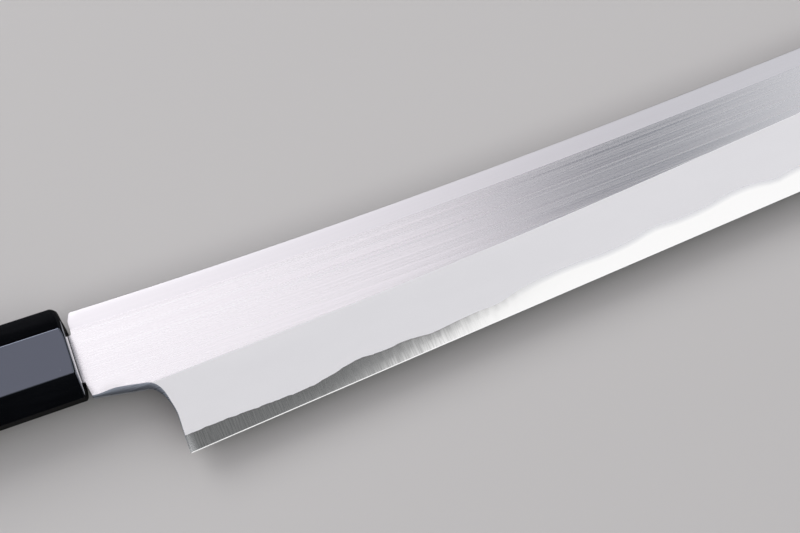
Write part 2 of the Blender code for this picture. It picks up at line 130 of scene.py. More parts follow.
def nearest_on_path(points: Array, path: Array) -> tuple[Array, Array]:
    """Least distance from each point to a path in the plane, and where on the path it is.

    Args:
        points: One row for each point.
        path: The path's corners in order.

    Returns:
        One distance and one place for each point. A place counts the path's corners.
    """
    start, run = path[:-1], np.diff(path, axis=0)
    away = points[:, None, :] - start[None, :, :]
    share = np.clip((away * run).sum(2) / (run * run).sum(1), 0.0, 1.0)
    gaps = np.linalg.norm(away - share[:, :, None] * run, axis=2)
    nearest = gaps.argmin(1)
    rows = np.arange(len(points))
    return gaps[rows, nearest], nearest + share[rows, nearest]


def inside_outline(points: Array, outline: Array) -> Array:
    """Tell which points lie inside a closed outline.

    Args:
        points: One row for each point.
        outline: The outline's corners in order.

    Returns:
        True for each point inside.
    """
    x, y = points[:, 0, None], points[:, 1, None]
    near, far = outline, np.roll(outline, -1, axis=0)
    spans = (near[:, 1] > y) != (far[:, 1] > y)
    rise = np.where(far[:, 1] == near[:, 1], 1.0, far[:, 1] - near[:, 1])
    crossing = near[:, 0] + (y - near[:, 1]) * (far[:, 0] - near[:, 0]) / rise
    return (spans & (x < crossing)).sum(1) % 2 == 1


def crossing(place: float, stretch: Stretch) -> Array:
    """Straight row of points at one place along the blade.

    Args:
        place: First number of every point.
        stretch: Start and end of the row, and how many points it has.

    Returns:
        One row for each point.
    """
    across = np.linspace(*stretch)
    return np.column_stack((np.full_like(across, place), across))


def add_object(name: str, data: bpy.types.ID) -> bpy.types.Object:
    """Put a new object in the scene.

    Args:
        name: Its name.
        data: Its mesh, lamp or camera.

    Returns:
        The object.
    """
    made = bpy.data.objects.new(name, data)
    bpy.context.scene.collection.objects.link(made)
    return made


class Skin(IntEnum):
    """Stretches of the blade's surface, each with its own finish."""

    HIRA = 0
    ROLL = 1
    SPINE = 2
    BEVEL = 3
    NECK = 4
    HIDDEN = 5
    EDGE_BAND = 6
    EDGE_LINE = 7
    HOLLOW = 8
    RIM = 9
    NECK_WALL = 10


# Pairs of stretches that meet in a crisp line
CRISP = {
    frozenset((Skin.HIRA, Skin.ROLL)),
    frozenset((Skin.EDGE_BAND, Skin.EDGE_LINE)),
    frozenset((Skin.HOLLOW, Skin.RIM)),
    frozenset((Skin.HOLLOW, Skin.EDGE_LINE)),
    frozenset((Skin.EDGE_BAND, Skin.HIDDEN)),
    frozenset((Skin.NECK, Skin.HIDDEN)),
}


@dataclass(frozen=True)
class BladeDrawing:
    """Outline, thickness and bevel of the blade."""

    # Outline
    edge_length: float = 300.0
    heel_height: float = 38.9
    point_height: float = 29.7
    spine_power: float = 3.0
    point_run: float = 58.0
    point_blunt: float = 0.4
    edge_angle: float = math.radians(4.67)
    heel_reach: float = 17.5
    spine_rise: float = 8.8
    # Thickness
    machi_thickness: float = 4.2
    point_thickness: float = 1.0
    edge_thickness: float = 0.12
    # Bevel and ridge
    heel_bevel: float = 17.9
    waist_bevel: float = 15.95
    front_bevel: float = 16.7
    waist_reach: float = 90.0
    front_reach: float = 183.0
    bevel_power: float = 1.6
    ridge_power: float = 2.6
    ridge_ease: float = 0.14
    # Strip that rolls off to the spine, and the spine's round
    roll_width: float = 3.8
    roll_drop: float = 0.09
    spine_round: float = 0.12
    bead_width: float = 0.24
    bead_height: float = 0.006
    # Bright line along the edge
    line_width: float = 0.21
    line_thickness: float = 0.1
    # Hollow back and its rims
    hollow_radius: float = 390.0
    edge_rim: float = 2.17
    spine_rim: float = 3.0
    hollow_reach: float = 8.0
    hollow_run: float = 26.0
    hollow_least: float = 0.6
    rim_share: float = 0.4
    strip_share: float = 0.2
    # Hard steel: crests and dips of its border as places from the heel and heights over the edge
    steel_start: float = 4.0
    crests: tuple[Span, ...] = (
        (0.0, 4.2), (9.0, 4.05), (21.0, 3.45), (32.0, 3.25), (37.5, 3.9), (42.5, 4.6), (49.5, 4.15),
        (55.0, 4.25), (61.5, 3.5), (66.5, 3.7), (73.0, 3.85), (77.0, 3.65), (84.5, 4.8), (92.0, 5.3),
        (98.0, 5.2), (104.5, 4.8), (111.5, 5.05), (117.5, 5.8), (123.0, 5.3), (130.0, 5.35),
        (138.0, 6.1), (142.5, 5.95), (148.5, 4.95), (153.0, 5.45), (158.0, 5.0),
    )
    border_mean: float = 5.0
    border_swing: float = 0.5
    border_wave: float = 23.0
    border_beat: float = 5.0
    border_ripple: float = 0.05
    ripple_waves: tuple[Span, ...] = ((1.31, 0.4), (2.23, 1.9), (3.71, 0.7))
    ripple_fade: Span = (30.0, 80.0)
    edge_swell: float = 0.0102
    weld_line: float = 0.004
    # Rear end, neck and choil
    rear_reach: float = 1.2
    notch_reach: float = 0.45
    blade_gap: float = 0.15
    shoulder_fillet: float = 3.2
    neck_corner_reach: float = 0.7
    neck_drop: float = 11.2
    neck_fall: float = 1.9
    choil_width: float = 5.1
    choil_height: float = 8.25
    choil_upper_pull: float = 3.3
    choil_lower_pull: float = 2.8
    neck_round_share: float = 0.36
    neck_round_reach: float = 7.0
    neck_round_least: float = 0.34
    choil_round_least: float = 0.3
    choil_round_fade: Span = (12.6, 18.5)
    back_round: float = 0.3
    hidden_reach: float = -0.7
    # Tang
    tang_length: float = 90.0
    tang_root_height: float = 11.2
    tang_root_drop: float = 1.7
    tang_tip_height: float = 5.6
    tang_tip_thickness: float = 2.6
    tang_step: float = 0.1
    tang_stub: float = 2.4

    @property
    def heel_u(self) -> float:
        """Place of the heel along the edge line."""
        return self.heel_reach / math.cos(self.edge_angle)

    @property
    def point_u(self) -> float:
        """Place of the point along the edge line."""
        return self.heel_u + self.edge_length

    @property
    def sweep_u(self) -> float:
        """Place where the edge begins to sweep up to the point."""
        return self.point_u - self.point_run

    @property
    def steel_u(self) -> float:
        """Rear end of the hard steel."""
        return self.steel_start / math.cos(self.edge_angle)

    @property
    def sweep_radius(self) -> float:
        """Radius of the sweep."""
        return (self.point_run ** 2 + self.point_height ** 2) / (2 * self.point_height)

    @property
    def edge_drop(self) -> float:
        """Edge line under the handle's axis at the ferrule's front face."""
        rise = self.heel_u * math.sin(self.edge_angle) + self.heel_height * math.cos(self.edge_angle)
        return rise - self.spine_rise

    def to_handle(self, points: Array) -> Array:
        """Turn rows of u and v into rows of x and y.

        Args:
            points: Rows of u and v.

        Returns:
            Rows of x and y.
        """
        cosine, sine = math.cos(self.edge_angle), math.sin(self.edge_angle)
        u, v = points[:, 0], points[:, 1]
        return np.column_stack((u * cosine - v * sine, u * sine + v * cosine - self.edge_drop))

    def to_blade(self, points: Array) -> Array:
        """Turn rows of x and y into rows of u and v.

        Args:
            points: Rows of x and y.

        Returns:
            Rows of u and v.
        """
        cosine, sine = math.cos(self.edge_angle), math.sin(self.edge_angle)
        x, y = points[:, 0], points[:, 1] + self.edge_drop
        return np.column_stack((x * cosine + y * sine, y * cosine - x * sine))

    def edge_v(self, u: Array) -> Array:
        """Edge at u: straight, then an arc."""
        run = np.clip(u - self.sweep_u, 0.0, self.point_run)
        return self.sweep_radius - np.sqrt(self.sweep_radius ** 2 - run ** 2)

    def spine_v(self, u: Array) -> Array:
        """Spine at u."""
        left = 1.0 - (u - self.heel_u) / self.edge_length
        return self.point_height + (self.heel_height - self.point_height) * left ** self.spine_power

    def bevel_width(self, u: Array) -> Array:
        """Width of the bevel at u, as if the edge ran on straight.

        Args:
            u: Places along the edge line.

        Returns:
            One width for each.
        """
        reach = np.maximum(0.0, u - self.heel_u)
        left = np.clip(1.0 - reach / self.waist_reach, 0.0, 1.0)
        rear = self.waist_bevel + (self.heel_bevel - self.waist_bevel) * left ** self.bevel_power
        share = np.clip((reach - self.waist_reach) / (self.front_reach - self.waist_reach), 0.0, 1.0)
        front = (self.front_bevel - self.waist_bevel) * (1 - np.cos(np.pi * share)) / 2
        return rear + front

    def ridge_v(self, u: Array) -> Array:
        """Ridge between the flat side and the bevel at u.

        Args:
            u: Places along the edge line.

        Returns:
            One place in v for each.
        """
        share = np.clip(u - self.sweep_u, 0.0, None) / self.point_run
        width = self.bevel_width(u)
        return width + (self.spine_v(u) - width) * share ** self.ridge_power

    def thickness(self, u: Array) -> Array:
        """Blade thickness at u, the same from the ridge to the spine."""
        return self.machi_thickness + (self.point_thickness - self.machi_thickness) * u / self.point_u

    def border_height(self, u: Array) -> Array:
        """Height of the hard steel's wavy border over the edge, across the bevel.

        Args:
            u: Places along the edge line.

        Returns:
            One height for each.
        """
        reach = u - self.heel_u
        places, heights = np.array(self.crests).T
        slopes = np.gradient(heights, places)
        after = np.clip(np.searchsorted(places, reach), 1, len(places) - 1)
        run = places[after] - places[after - 1]
        share = np.clip((reach - places[after - 1]) / run, 0.0, 1.0)
        left = 1 - share
        drawn = (heights[after - 1] * (1 + 2 * share) + slopes[after - 1] * run * share) * left ** 2
        drawn += (heights[after] * (1 + 2 * left) - slopes[after] * run * left) * share ** 2
        turn = 2 * np.pi * (reach - places[-1]) / self.border_wave
        waved = self.border_mean + self.border_swing * np.sin(turn) * np.cos(turn / self.border_beat)
        ripple = sum(np.sin(reach * pitch + shift) / order
                     for order, (pitch, shift) in enumerate(self.ripple_waves, 1))
        ripple = ripple * (1 - smooth_step(reach, *self.ripple_fade))
        return np.where(reach > places[-1], waved, drawn) + self.border_ripple * ripple

    def border_share(self, u: Array) -> Array:
        """Border's height at u as a share of the bevel's width."""
        return self.border_height(u) / self.bevel_width(u)

    def border_v(self, u: Array) -> Array:
        """Border of the hard steel at u, on the bevel."""
        return self.edge_v(u) + (self.ridge_v(u) - self.edge_v(u)) * self.border_share(u)

    def layer_z(self, u: Array) -> Array:
        """Top of the hard steel at u, where the iron lies on it."""
        return self.edge_thickness + (self.thickness(u) - self.edge_thickness) * self.border_share(u)

    def hollow_limits(self, u: Array) -> tuple[Array, Array]:
        """Lower and upper limit in v of the hollow at u.

        Args:
            u: Places along the edge line.

        Returns:
            The lower and the upper limits.
        """
        height = self.spine_v(u) - self.edge_v(u)
        low = self.edge_v(u) + np.minimum(self.edge_rim, height * self.rim_share)
        high = self.spine_v(u) - np.minimum(self.spine_rim, height * self.rim_share)
        share = np.clip((u - self.heel_u - self.hollow_reach) / self.hollow_run, 0.0, 1.0)
        width = (high - low) * np.sqrt(1 - (1 - share) ** 2)
        width = np.maximum(width, np.minimum(self.hollow_least, height * self.strip_share))
        middle = (low + high) / 2
        return middle - width / 2, middle + width / 2

    def roll_limits(self, u: Array) -> tuple[Array, Array]:
        """Start and width of the strip at u that rolls off towards the spine."""
        width = np.minimum(self.roll_width, (self.spine_v(u) - self.ridge_v(u)) / 2)
        return self.spine_v(u) - self.round_radius(u) - width, width

    def round_radius(self, u: Array) -> Array:
        """Radius of the spine's eased corners at u."""
        return np.minimum(self.spine_round, self.thickness(u) / 4)

    def tang_limits(self, x: Array) -> tuple[Array, Array, Array]:
        """Lower edge, upper edge and thickness of the tang at x.

        Args:
            x: Places along the handle, below zero on the tang.

        Returns:
            The lower edges, the upper edges and the thicknesses.
        """
        share = np.clip(-x / self.tang_length, 0.0, 1.0)
        height = self.tang_root_height + (self.tang_tip_height - self.tang_root_height) * share
        middle = -self.tang_root_drop * (1 - share)
        root = self.machi_thickness - 2 * self.tang_step
        return middle - height / 2, middle + height / 2, root + (self.tang_tip_thickness - root) * share

    def choil_curve(self, steps: int) -> Array:
        """The choil's curve in x and y, from the neck's lower edge down into the heel's straight end.

        Args:
            steps: Number of stretches.

        Returns:
            One row of x and y for each point.
        """
        top = -self.neck_drop - self.neck_fall
        left, low = self.heel_reach - self.choil_width, top - self.choil_height
        return bezier(((left, top), (left + self.choil_upper_pull, top),
                       (self.heel_reach, low + self.choil_lower_pull), (self.heel_reach, low)), steps)


@dataclass
class BladePlan:
    """The blade seen from above: one triangle mesh that carries its upper and its lower face."""

    drawing: BladeDrawing
    # Steps along the blade, and numbers of points round its outline
    station_step: float = 1.0
    border_step: float = 0.35
    lattice_step: float = 2.4
    lines_start: float = -2.0
    lattice_start: float = -1.0
    sweep_steps: int = 64
    choil_steps: int = 34
    neck_steps: int = 30
    heel_steps: int = 12
    fillet_steps: int = 10
    round_steps: int = 7
    tang_points: int = 31
    tang_step_run: float = 0.12
    layer_step_run: float = 0.02
    corner_round: float = 0.2
    fillet_pull: float = 0.33
    # Lines across the blade: start, end and number of points
    layer_cross: Stretch = (-5.0, 45.0, 60)
    tang_cross: Stretch = (-20.0, 12.0, 40)
    shoulder_cross: Stretch = (-7.2, 3.8, 12)
    # Rows of points between the lines, as shares of each stretch from the edge up
    steel_rows: tuple[float, ...] = (0.2, 0.4, 0.6, 0.8)
    bevel_rows: tuple[float, ...] = (0.12, 0.3, 0.48, 0.66, 0.84)
    flat_rows: tuple[float, ...] = (0.1, 0.22, 0.34, 0.46, 0.58, 0.7, 0.82, 0.93)
    roll_rows: tuple[float, ...] = (0.33, 0.66)
    # Passes and tolerances
    rear_passes: int = 8
    margin: float = 0.03
    weld_gap: float = 1e-4
    least_area: float = 1e-9
    least_width: float = 1e-6
    points: Array = field(init=False)
    triangles: Array = field(init=False)
    neck_path: Array = field(init=False)

    def __post_init__(self) -> None:
        """Draw the outline and the lines in it, and fill them with triangles."""
        outline = self.outline()
        lines = self.surface_lines()
        chains = [np.vstack((outline, outline[:1]))]
        for line in lines:
            chains += self.split_inside(line, outline)
        lattice = self.lattice()
        lattice = lattice[inside_outline(lattice, outline)]
        places = [Vector(point) for chain in chains for point in chain]
        edges = []
        count = 0
        for chain in chains:
            edges += [(count + index, count + index + 1) for index in range(len(chain) - 1)]
            count += len(chain)
        places += [Vector(point) for point in lattice]
        made, _, faces, *_ = delaunay_2d_cdt(places, edges, [], 1, self.weld_gap)
        self.points = np.array([tuple(point) for point in made])
        self.triangles = np.array(self.facing_up(faces))

    def facing_up(self, faces: Sequence[Sequence[int]]) -> list[tuple[int, int, int]]:
        """Order each triangle's corners counter-clockwise, and leave out slivers without area.

        Args:
            faces: Each face's corners.

        Returns:
            The triangles that are kept.
        """
        kept = []
        for face in faces:
            first, second, third = (self.points[index] for index in face)
            (run_u, run_v), (over_u, over_v) = second - first, third - first
            area = run_u * over_v - over_u * run_v
            if abs(area) > self.least_area:
                kept.append(tuple(face) if area > 0 else tuple(reversed(face)))
        return kept

    def rear_spine_u(self) -> float:
        """Place along the spine where the blade's rear end meets it.

        Returns:
            The place in u.
        """
        drawing = self.drawing
        u = 0.0
        for _ in range(self.rear_passes):
            v = float(drawing.spine_v(np.array(u)))
            u = (drawing.rear_reach + v * math.sin(drawing.edge_angle)) / math.cos(drawing.edge_angle)
        return u

    def stations(self, start: float, step: float) -> Array:
        """Places along the blade from a start to the blunt point, closer along the sweep.

        Args:
            start: The first place.
            step: Step along the straight part.

        Returns:
            The places in u.
        """
        drawing = self.drawing
        count = math.ceil((drawing.sweep_u - start) / step)
        straight = np.linspace(start, drawing.sweep_u, count + 1)
        last = math.asin((drawing.point_run - drawing.point_blunt) / drawing.sweep_radius)
        bends = math.ceil(self.sweep_steps * self.station_step / step)
        angles = np.linspace(0.0, last, bends + 1)[1:]
        return np.concatenate((straight, drawing.sweep_u + drawing.sweep_radius * np.sin(angles)))

    def outline(self) -> Array:
        """Closed outline of blade and tang in u and v, counter-clockwise.

        Returns:
            One row for each corner.
        """
        drawing = self.drawing
        along = self.stations(drawing.heel_u, self.station_step)
        edge = np.column_stack((along, drawing.edge_v(along)))
        rear = self.rear_spine_u()
        back = self.stations(rear + self.corner_round, self.station_step)[::-1]
        spine = np.column_stack((back, drawing.spine_v(back)))
        x = np.linspace(-drawing.tang_length, 0.0, self.tang_points)
        low, high, _ = drawing.tang_limits(x)
        root_low, root_high, _ = drawing.tang_limits(np.array(0.0))
        fillet = bezier(((drawing.notch_reach, root_high + drawing.shoulder_fillet),
                         (drawing.notch_reach, root_high + drawing.shoulder_fillet * self.fillet_pull),
                         (drawing.notch_reach, root_high), (drawing.blade_gap, root_high)),
                        self.fillet_steps)
        self.neck_path = self.neck_and_choil()
        top = float(drawing.to_handle(np.array([[rear, drawing.spine_v(np.array(rear))]]))[0, 1])
        behind = np.vstack((
            [(drawing.rear_reach, top - self.corner_round)],
            fillet,
            np.column_stack((x, high))[::-1],
            np.column_stack((x, low)),
            [(drawing.blade_gap, float(root_low))],
        ))
        return np.vstack((edge, spine, drawing.to_blade(behind), self.neck_path[:-1]))

    def neck_and_choil(self) -> Array:
        """Path along the neck's lower edge, the choil and the heel's straight end.

        Returns:
            One row of u and v for each point.
        """
        drawing = self.drawing
        choil = drawing.choil_curve(self.choil_steps)
        corner = np.array((drawing.neck_corner_reach, -drawing.neck_drop))
        heel_y = -drawing.edge_drop + drawing.heel_u * math.sin(drawing.edge_angle)
        heel = np.array((drawing.heel_reach, heel_y))
        neck = np.linspace(corner, choil[0], self.neck_steps)[:-1]
        end = np.linspace(choil[-1], heel, self.heel_steps)[1:]
        return drawing.to_blade(np.vstack((neck, choil, end)))

    def split_inside(self, line: Array, outline: Array) -> list[Array]:
        """Cut a line to its stretches inside the outline, a little clear of it.

        Args:
            line: One row for each point.
            outline: The outline's corners in order.

        Returns:
            The stretches.
        """
        clear = inside_outline(line, outline)
        clear &= nearest_on_path(line, np.vstack((outline, outline[:1])))[0] > self.margin
        stretches, current = [], []
        for point, kept in zip(line, clear):
            if kept:
                current.append(point)
            elif current:
                stretches.append(current)
                current = []
        stretches.append(current)
        return [np.array(stretch) for stretch in stretches if len(stretch) > 1]

    def surface_lines(self) -> list[Array]:
        """Lines in u and v along which the surface bends or changes its finish.

        Returns:
            The lines.
        """
        drawing = self.drawing
        u = self.stations(self.lines_start, self.station_step)
        fine = self.stations(drawing.steel_u, self.border_step)
        ridge, edge, spine = drawing.ridge_v(u), drawing.edge_v(u), drawing.spine_v(u)
        roll, _ = drawing.roll_limits(u)
        hollow_low, hollow_high = drawing.hollow_limits(u)
        rows = [ridge, ridge - drawing.ridge_ease, ridge + drawing.ridge_ease,
                ridge - drawing.ridge_ease / 2, ridge + drawing.ridge_ease / 2,
                roll, roll - drawing.bead_width, roll - drawing.bead_width / 2,
                hollow_low, hollow_high, edge + drawing.line_width]
        rows += [spine - drawing.round_radius(u) * share for share in self.round_shares()]
        lines = [np.column_stack((u, row)) for row in rows]
        lines.append(np.column_stack((fine, drawing.border_v(fine))))
        for place in (drawing.steel_u, drawing.steel_u - self.layer_step_run):
            lines.append(crossing(place, self.layer_cross))
        for place in (-drawing.tang_stub, -drawing.tang_stub - self.tang_step_run):
            lines.append(drawing.to_blade(crossing(place, self.tang_cross)))
        lines.append(drawing.to_blade(crossing(drawing.hidden_reach, self.shoulder_cross)))
        return lines + self.neck_lines()

    def round_shares(self) -> list[float]:
        """Steps across a quarter round, as shares of its radius."""
        return [1 - math.cos(angle) for angle in np.linspace(0.0, math.pi / 2, self.round_steps)[1:]]

    def neck_lines(self) -> list[Array]:
        """Lines at the round of the neck and the choil, one for each step of the round.

        Returns:
            The lines.
        """
        path = self.neck_path
        along = np.gradient(path, axis=0)
        along /= np.linalg.norm(along, axis=1)[:, None]
        inward = np.column_stack((-along[:, 1], along[:, 0]))
        radius = self.neck_radius(path)
        return [path + inward * (radius * share)[:, None] for share in self.round_shares()]

    def neck_round(self, points: Array) -> tuple[Array, Array]:
        """Distance from each point to the neck's path, and the radius of the round beside it.

        Args:
            points: Rows of u and v.

        Returns:
            The distances and the radii.
        """
        gap, place = nearest_on_path(points, self.neck_path)
        radius = self.neck_radius(self.neck_path)
        return gap, np.interp(place, np.arange(len(radius)), radius)

    def neck_radius(self, points: Array) -> Array:
        """Radius of the neck's and the choil's upper round at its path: small at both ends, full between.

        Args:
            points: Rows of u and v on the path.

        Returns:
            One radius for each point.
        """
        drawing = self.drawing
        placed = drawing.to_handle(points)
        grown = smooth_step(placed[:, 0], drawing.neck_corner_reach, drawing.neck_round_reach)
        least = drawing.neck_round_least
        low = smooth_step(-placed[:, 1], *drawing.choil_round_fade)
        slim = 1 - (1 - drawing.choil_round_least) * low
        return drawing.neck_round_share * self.plain_top(points) * (least + (1 - least) * grown) * slim

    def plain_top(self, points: Array) -> Array:
        """Height of the upper face over the back before its corners are eased.

        Args:
            points: Rows of u and v.

        Returns:
            One height for each point.
        """
        drawing = self.drawing
        u, v = points[:, 0], points[:, 1]
        edge, ridge, thick = drawing.edge_v(u), drawing.ridge_v(u), drawing.thickness(u)
        share = np.clip((v - edge) / (ridge - edge), 0.0, 1.0)
        return drawing.edge_thickness + (thick - drawing.edge_thickness) * share

    def lattice(self) -> Array:
        """Points that fill the plan between its lines.

        Returns:
            One row of u and v for each point.
        """
        drawing = self.drawing
        u = self.stations(self.lattice_start, self.lattice_step)[:-1]
        edge, border, ridge = drawing.edge_v(u), drawing.border_v(u), drawing.ridge_v(u)
        roll, width = drawing.roll_limits(u)
        bands = ((edge, border - edge, self.steel_rows), (border, ridge - border, self.bevel_rows),
                 (ridge, roll - ridge, self.flat_rows), (roll, width, self.roll_rows))
        rows = [start + reach * share for start, reach, shares in bands for share in shares]
        return np.vstack([np.column_stack((u, row)) for row in rows])

    def upper(self) -> Array:
        """Height of the blade's upper face over its back at each point.

        Returns:
            One height for each point.
        """
        drawing = self.drawing
        u, v = self.points.T
        edge, ridge, spine = drawing.edge_v(u), drawing.ridge_v(u), drawing.spine_v(u)
        height = self.plain_top(self.points)
        slope = (drawing.thickness(u) - drawing.edge_thickness) / (ridge - edge)
        near = np.clip(1 - np.abs(v - ridge) / drawing.ridge_ease, 0.0, 1.0)
        height -= slope * drawing.ridge_ease / 4 * near ** 2
        over = np.clip((v - edge) / np.maximum(drawing.border_v(u) - edge, self.least_width), 0.0, 1.0)
        height += 4 * drawing.edge_swell * over * (1 - over)
        roll, width = drawing.roll_limits(u)
        height -= drawing.roll_drop * np.clip((v - roll) / np.maximum(width, self.least_width), 0.0, 1.0)
        bead = np.clip(1 - np.abs(v - roll + drawing.bead_width / 2) / (drawing.bead_width / 2), 0.0, 1.0)
        height += drawing.bead_height * smooth_step(bead, 0.0, 1.0) * (u < drawing.sweep_u)
        height -= quarter_round(spine - v, drawing.round_radius(u))
        rise = self.plain_top(np.column_stack((u, edge + drawing.line_width))) - drawing.line_thickness
        line = drawing.line_thickness + rise * np.clip((v - edge) / drawing.line_width, 0.0, 1.0)
        height = np.where(v - edge < drawing.line_width, np.minimum(height, line), height)
        height -= quarter_round(*self.neck_round(self.points))
        return np.where(self.in_tang(), self.tang_faces()[1], height)

    def lower(self) -> Array:
        """Height of the blade's lower face over its back's rims at each point.

        Returns:
            One height for each point.
        """
        drawing = self.drawing
        u, v = self.points.T
        low, high = drawing.hollow_limits(u)
        half, offset = (high - low) / 2, v - (low + high) / 2
        radius = drawing.hollow_radius
        depth = np.sqrt(radius ** 2 - np.minimum(offset ** 2, half ** 2)) - np.sqrt(radius ** 2 - half ** 2)
        spine_round = np.minimum(drawing.back_round, drawing.round_radius(u))
        round_off = quarter_round(drawing.spine_v(u) - v, spine_round)
        round_off += quarter_round(self.neck_round(self.points)[0], drawing.back_round)
        return np.where(self.in_tang(), self.tang_faces()[0], depth + round_off)

    def in_tang(self) -> Array:
        """Tell which points are on the thinner tang."""
        x = self.drawing.to_handle(self.points)[:, 0]
        return x < -self.drawing.tang_stub - self.tang_step_run / 2

    def tang_faces(self) -> tuple[Array, Array]:
        """Lower and upper face of the tang, over the blade's back.

        Returns:
            The lower and the upper heights.
        """
        x = self.drawing.to_handle(self.points)[:, 0]
        depth = self.drawing.tang_limits(x)[2]
        middle = self.drawing.machi_thickness / 2
        return middle - depth / 2, middle + depth / 2

    def middles(self) -> Array:
        """Middle of each triangle."""
        return self.points[self.triangles].mean(axis=1)


@dataclass
class BladeMaker:
    """Parts the blade's plan into soft iron and hard steel, and makes both pieces."""

    plan: BladePlan
    zero: Vector
    pinch: float = 0.002
    neck_reach: float = 0.05
    border_reach: float = 1e-3
    crease: float = math.radians(30)

    def upper_skin(self, middles: Array) -> Array:
        """Name the stretch of the upper face that each triangle is on.

        Args:
            middles: Middle of each triangle in u and v.

        Returns:
            One Skin for each triangle.
        """
        drawing = self.plan.drawing
        u, v = middles.T
        skin = np.full(len(u), int(Skin.HIRA))
        skin[v > drawing.roll_limits(u)[0]] = Skin.ROLL
        skin[v > drawing.spine_v(u) - drawing.round_radius(u)] = Skin.SPINE
        skin[v < drawing.ridge_v(u)] = Skin.BEVEL
        gap, radius = self.plan.neck_round(middles)
        skin[gap < radius] = Skin.NECK
        skin[drawing.to_handle(middles)[:, 0] < drawing.hidden_reach] = Skin.HIDDEN
        return skin

    def iron(self) -> bpy.types.Object:
        """Make the soft iron with its tang.

        Returns:
            The piece.
        """
        drawing, plan = self.plan.drawing, self.plan
        u, v = plan.points.T
        laid = u > drawing.steel_u - plan.layer_step_run / 2
        upper = plan.upper()
        bed = np.where(laid, drawing.layer_z(u) + drawing.weld_line, plan.lower())
        middles = plan.middles()
        front = middles[:, 0] > drawing.steel_u
        chosen = ~front | (middles[:, 1] > drawing.border_v(middles[:, 0]))
        on_border = laid & (np.abs(v - drawing.border_v(u)) < self.border_reach)
        bed = np.where(on_border | (upper - bed < self.pinch), upper, bed)
        skin = self.upper_skin(middles)
        under = np.where(front, int(Skin.HIDDEN), int(Skin.RIM))
        under[drawing.to_handle(middles)[:, 0] < drawing.hidden_reach] = Skin.HIDDEN
        return self.solid("soft_iron", chosen, upper, bed, skin, under, Skin.SPINE)

    def steel(self) -> bpy.types.Object:
        """Make the hard steel with the cutting edge and the hollow back.

        Returns:
            The piece.
        """
        drawing, plan = self.plan.drawing, self.plan
        u = plan.points[:, 0]
        upper = np.minimum(plan.upper(), drawing.layer_z(u))
        middles = plan.middles()
        along, across = middles.T
        chosen = along > drawing.steel_u
        skin = np.where(across < drawing.border_v(along), int(Skin.EDGE_BAND), int(Skin.HIDDEN))
        skin[across < drawing.edge_v(along) + drawing.line_width] = Skin.EDGE_LINE
        gap, radius = plan.neck_round(middles)
        skin[(gap < radius) & (skin == Skin.EDGE_BAND)] = Skin.NECK
        low, high = drawing.hollow_limits(along)
        hollow = (across > low) & (across < high)
        under = np.where(hollow, int(Skin.HOLLOW), int(Skin.RIM))
        return self.solid("edge_steel_layer", chosen, upper, plan.lower(), skin, under, Skin.NECK)

    def solid(self, name: str, chosen: Array, upper: Array, lower: Array,
              skin: Array, under: Array, wall: Skin) -> bpy.types.Object:
        """Close the chosen triangles' upper and lower faces into one body.

        Args:
            name: Name of the piece.
            chosen: True for each triangle that belongs to it.
            upper: Height of the upper face at each point of the plan.
            lower: Height of the lower face.
            skin: Skin of each triangle's upper face.
            under: Skin of each triangle's lower face.
            wall: Skin of the walls between them.

        Returns:
            The piece, with its finishes' numbers on its faces.
        """
        plan = self.plan
        triangles = plan.triangles[chosen]
        used = np.unique(triangles)
        top_index = np.full(len(plan.points), -1)
        top_index[used] = np.arange(len(used))
        low_index = top_index.copy()
        thick = used[upper[used] - lower[used] > self.pinch]
        low_index[thick] = len(used) + np.arange(len(thick))
        order = np.concatenate((used, thick))
        heights = np.concatenate((upper[used], lower[thick]))
        faces, marks = [], []
        for corners, above, below in zip(triangles, skin[chosen], under[chosen]):
            top, low = top_index[corners], low_index[corners]
            faces.append(top.tolist())
            marks.append(int(above))
            if len(set(top) | set(low)) > 3:
                faces.append(low[::-1].tolist())
                marks.append(int(below))
        gap, _ = nearest_on_path(plan.points, plan.neck_path)
        wall_marks = np.where(gap < self.neck_reach, int(Skin.NECK_WALL), int(wall))
        for ring, start in self.wall_faces(triangles, top_index, low_index):
            faces.append(ring)
            marks.append(int(wall_marks[start]))
        flat = plan.drawing.to_handle(plan.points[order])
        base = self.zero.z - plan.drawing.machi_thickness / 2
        places = np.column_stack((flat + np.array(self.zero[:2]), heights + base)) * MM
        mesh = bpy.data.meshes.new(name)
        mesh.from_pydata(places.tolist(), [], faces)
        self.map_surface(mesh, order, heights, upper)
        self.mark_creases(mesh, marks)
        mesh.polygons.foreach_set("material_index", marks)
        return add_object(name, mesh)

    @staticmethod
    def wall_faces(triangles: Array, top_index: Array, low_index: Array) -> list[tuple[list[int], int]]:
        """Faces that join the upper and lower face along the body's outline.

        Args:
            triangles: The plan's triangles in the body.
            top_index: Upper vertex at each point of the plan.
            low_index: Lower vertex at each point of the plan.

        Returns:
            Each face's corners with the point of the plan that it starts at.
        """
        rims = np.vstack((triangles[:, (0, 1)], triangles[:, (1, 2)], triangles[:, (2, 0)]))
        known = set(map(tuple, rims.tolist()))
        walls = []
        for first, second in known:
            if (second, first) in known:
                continue
            ring = [top_index[first], low_index[first], low_index[second], top_index[second]]
            ring = list(dict.fromkeys(int(index) for index in ring))
            if len(ring) > 2:
                walls.append((ring, first))
        return sorted(walls)

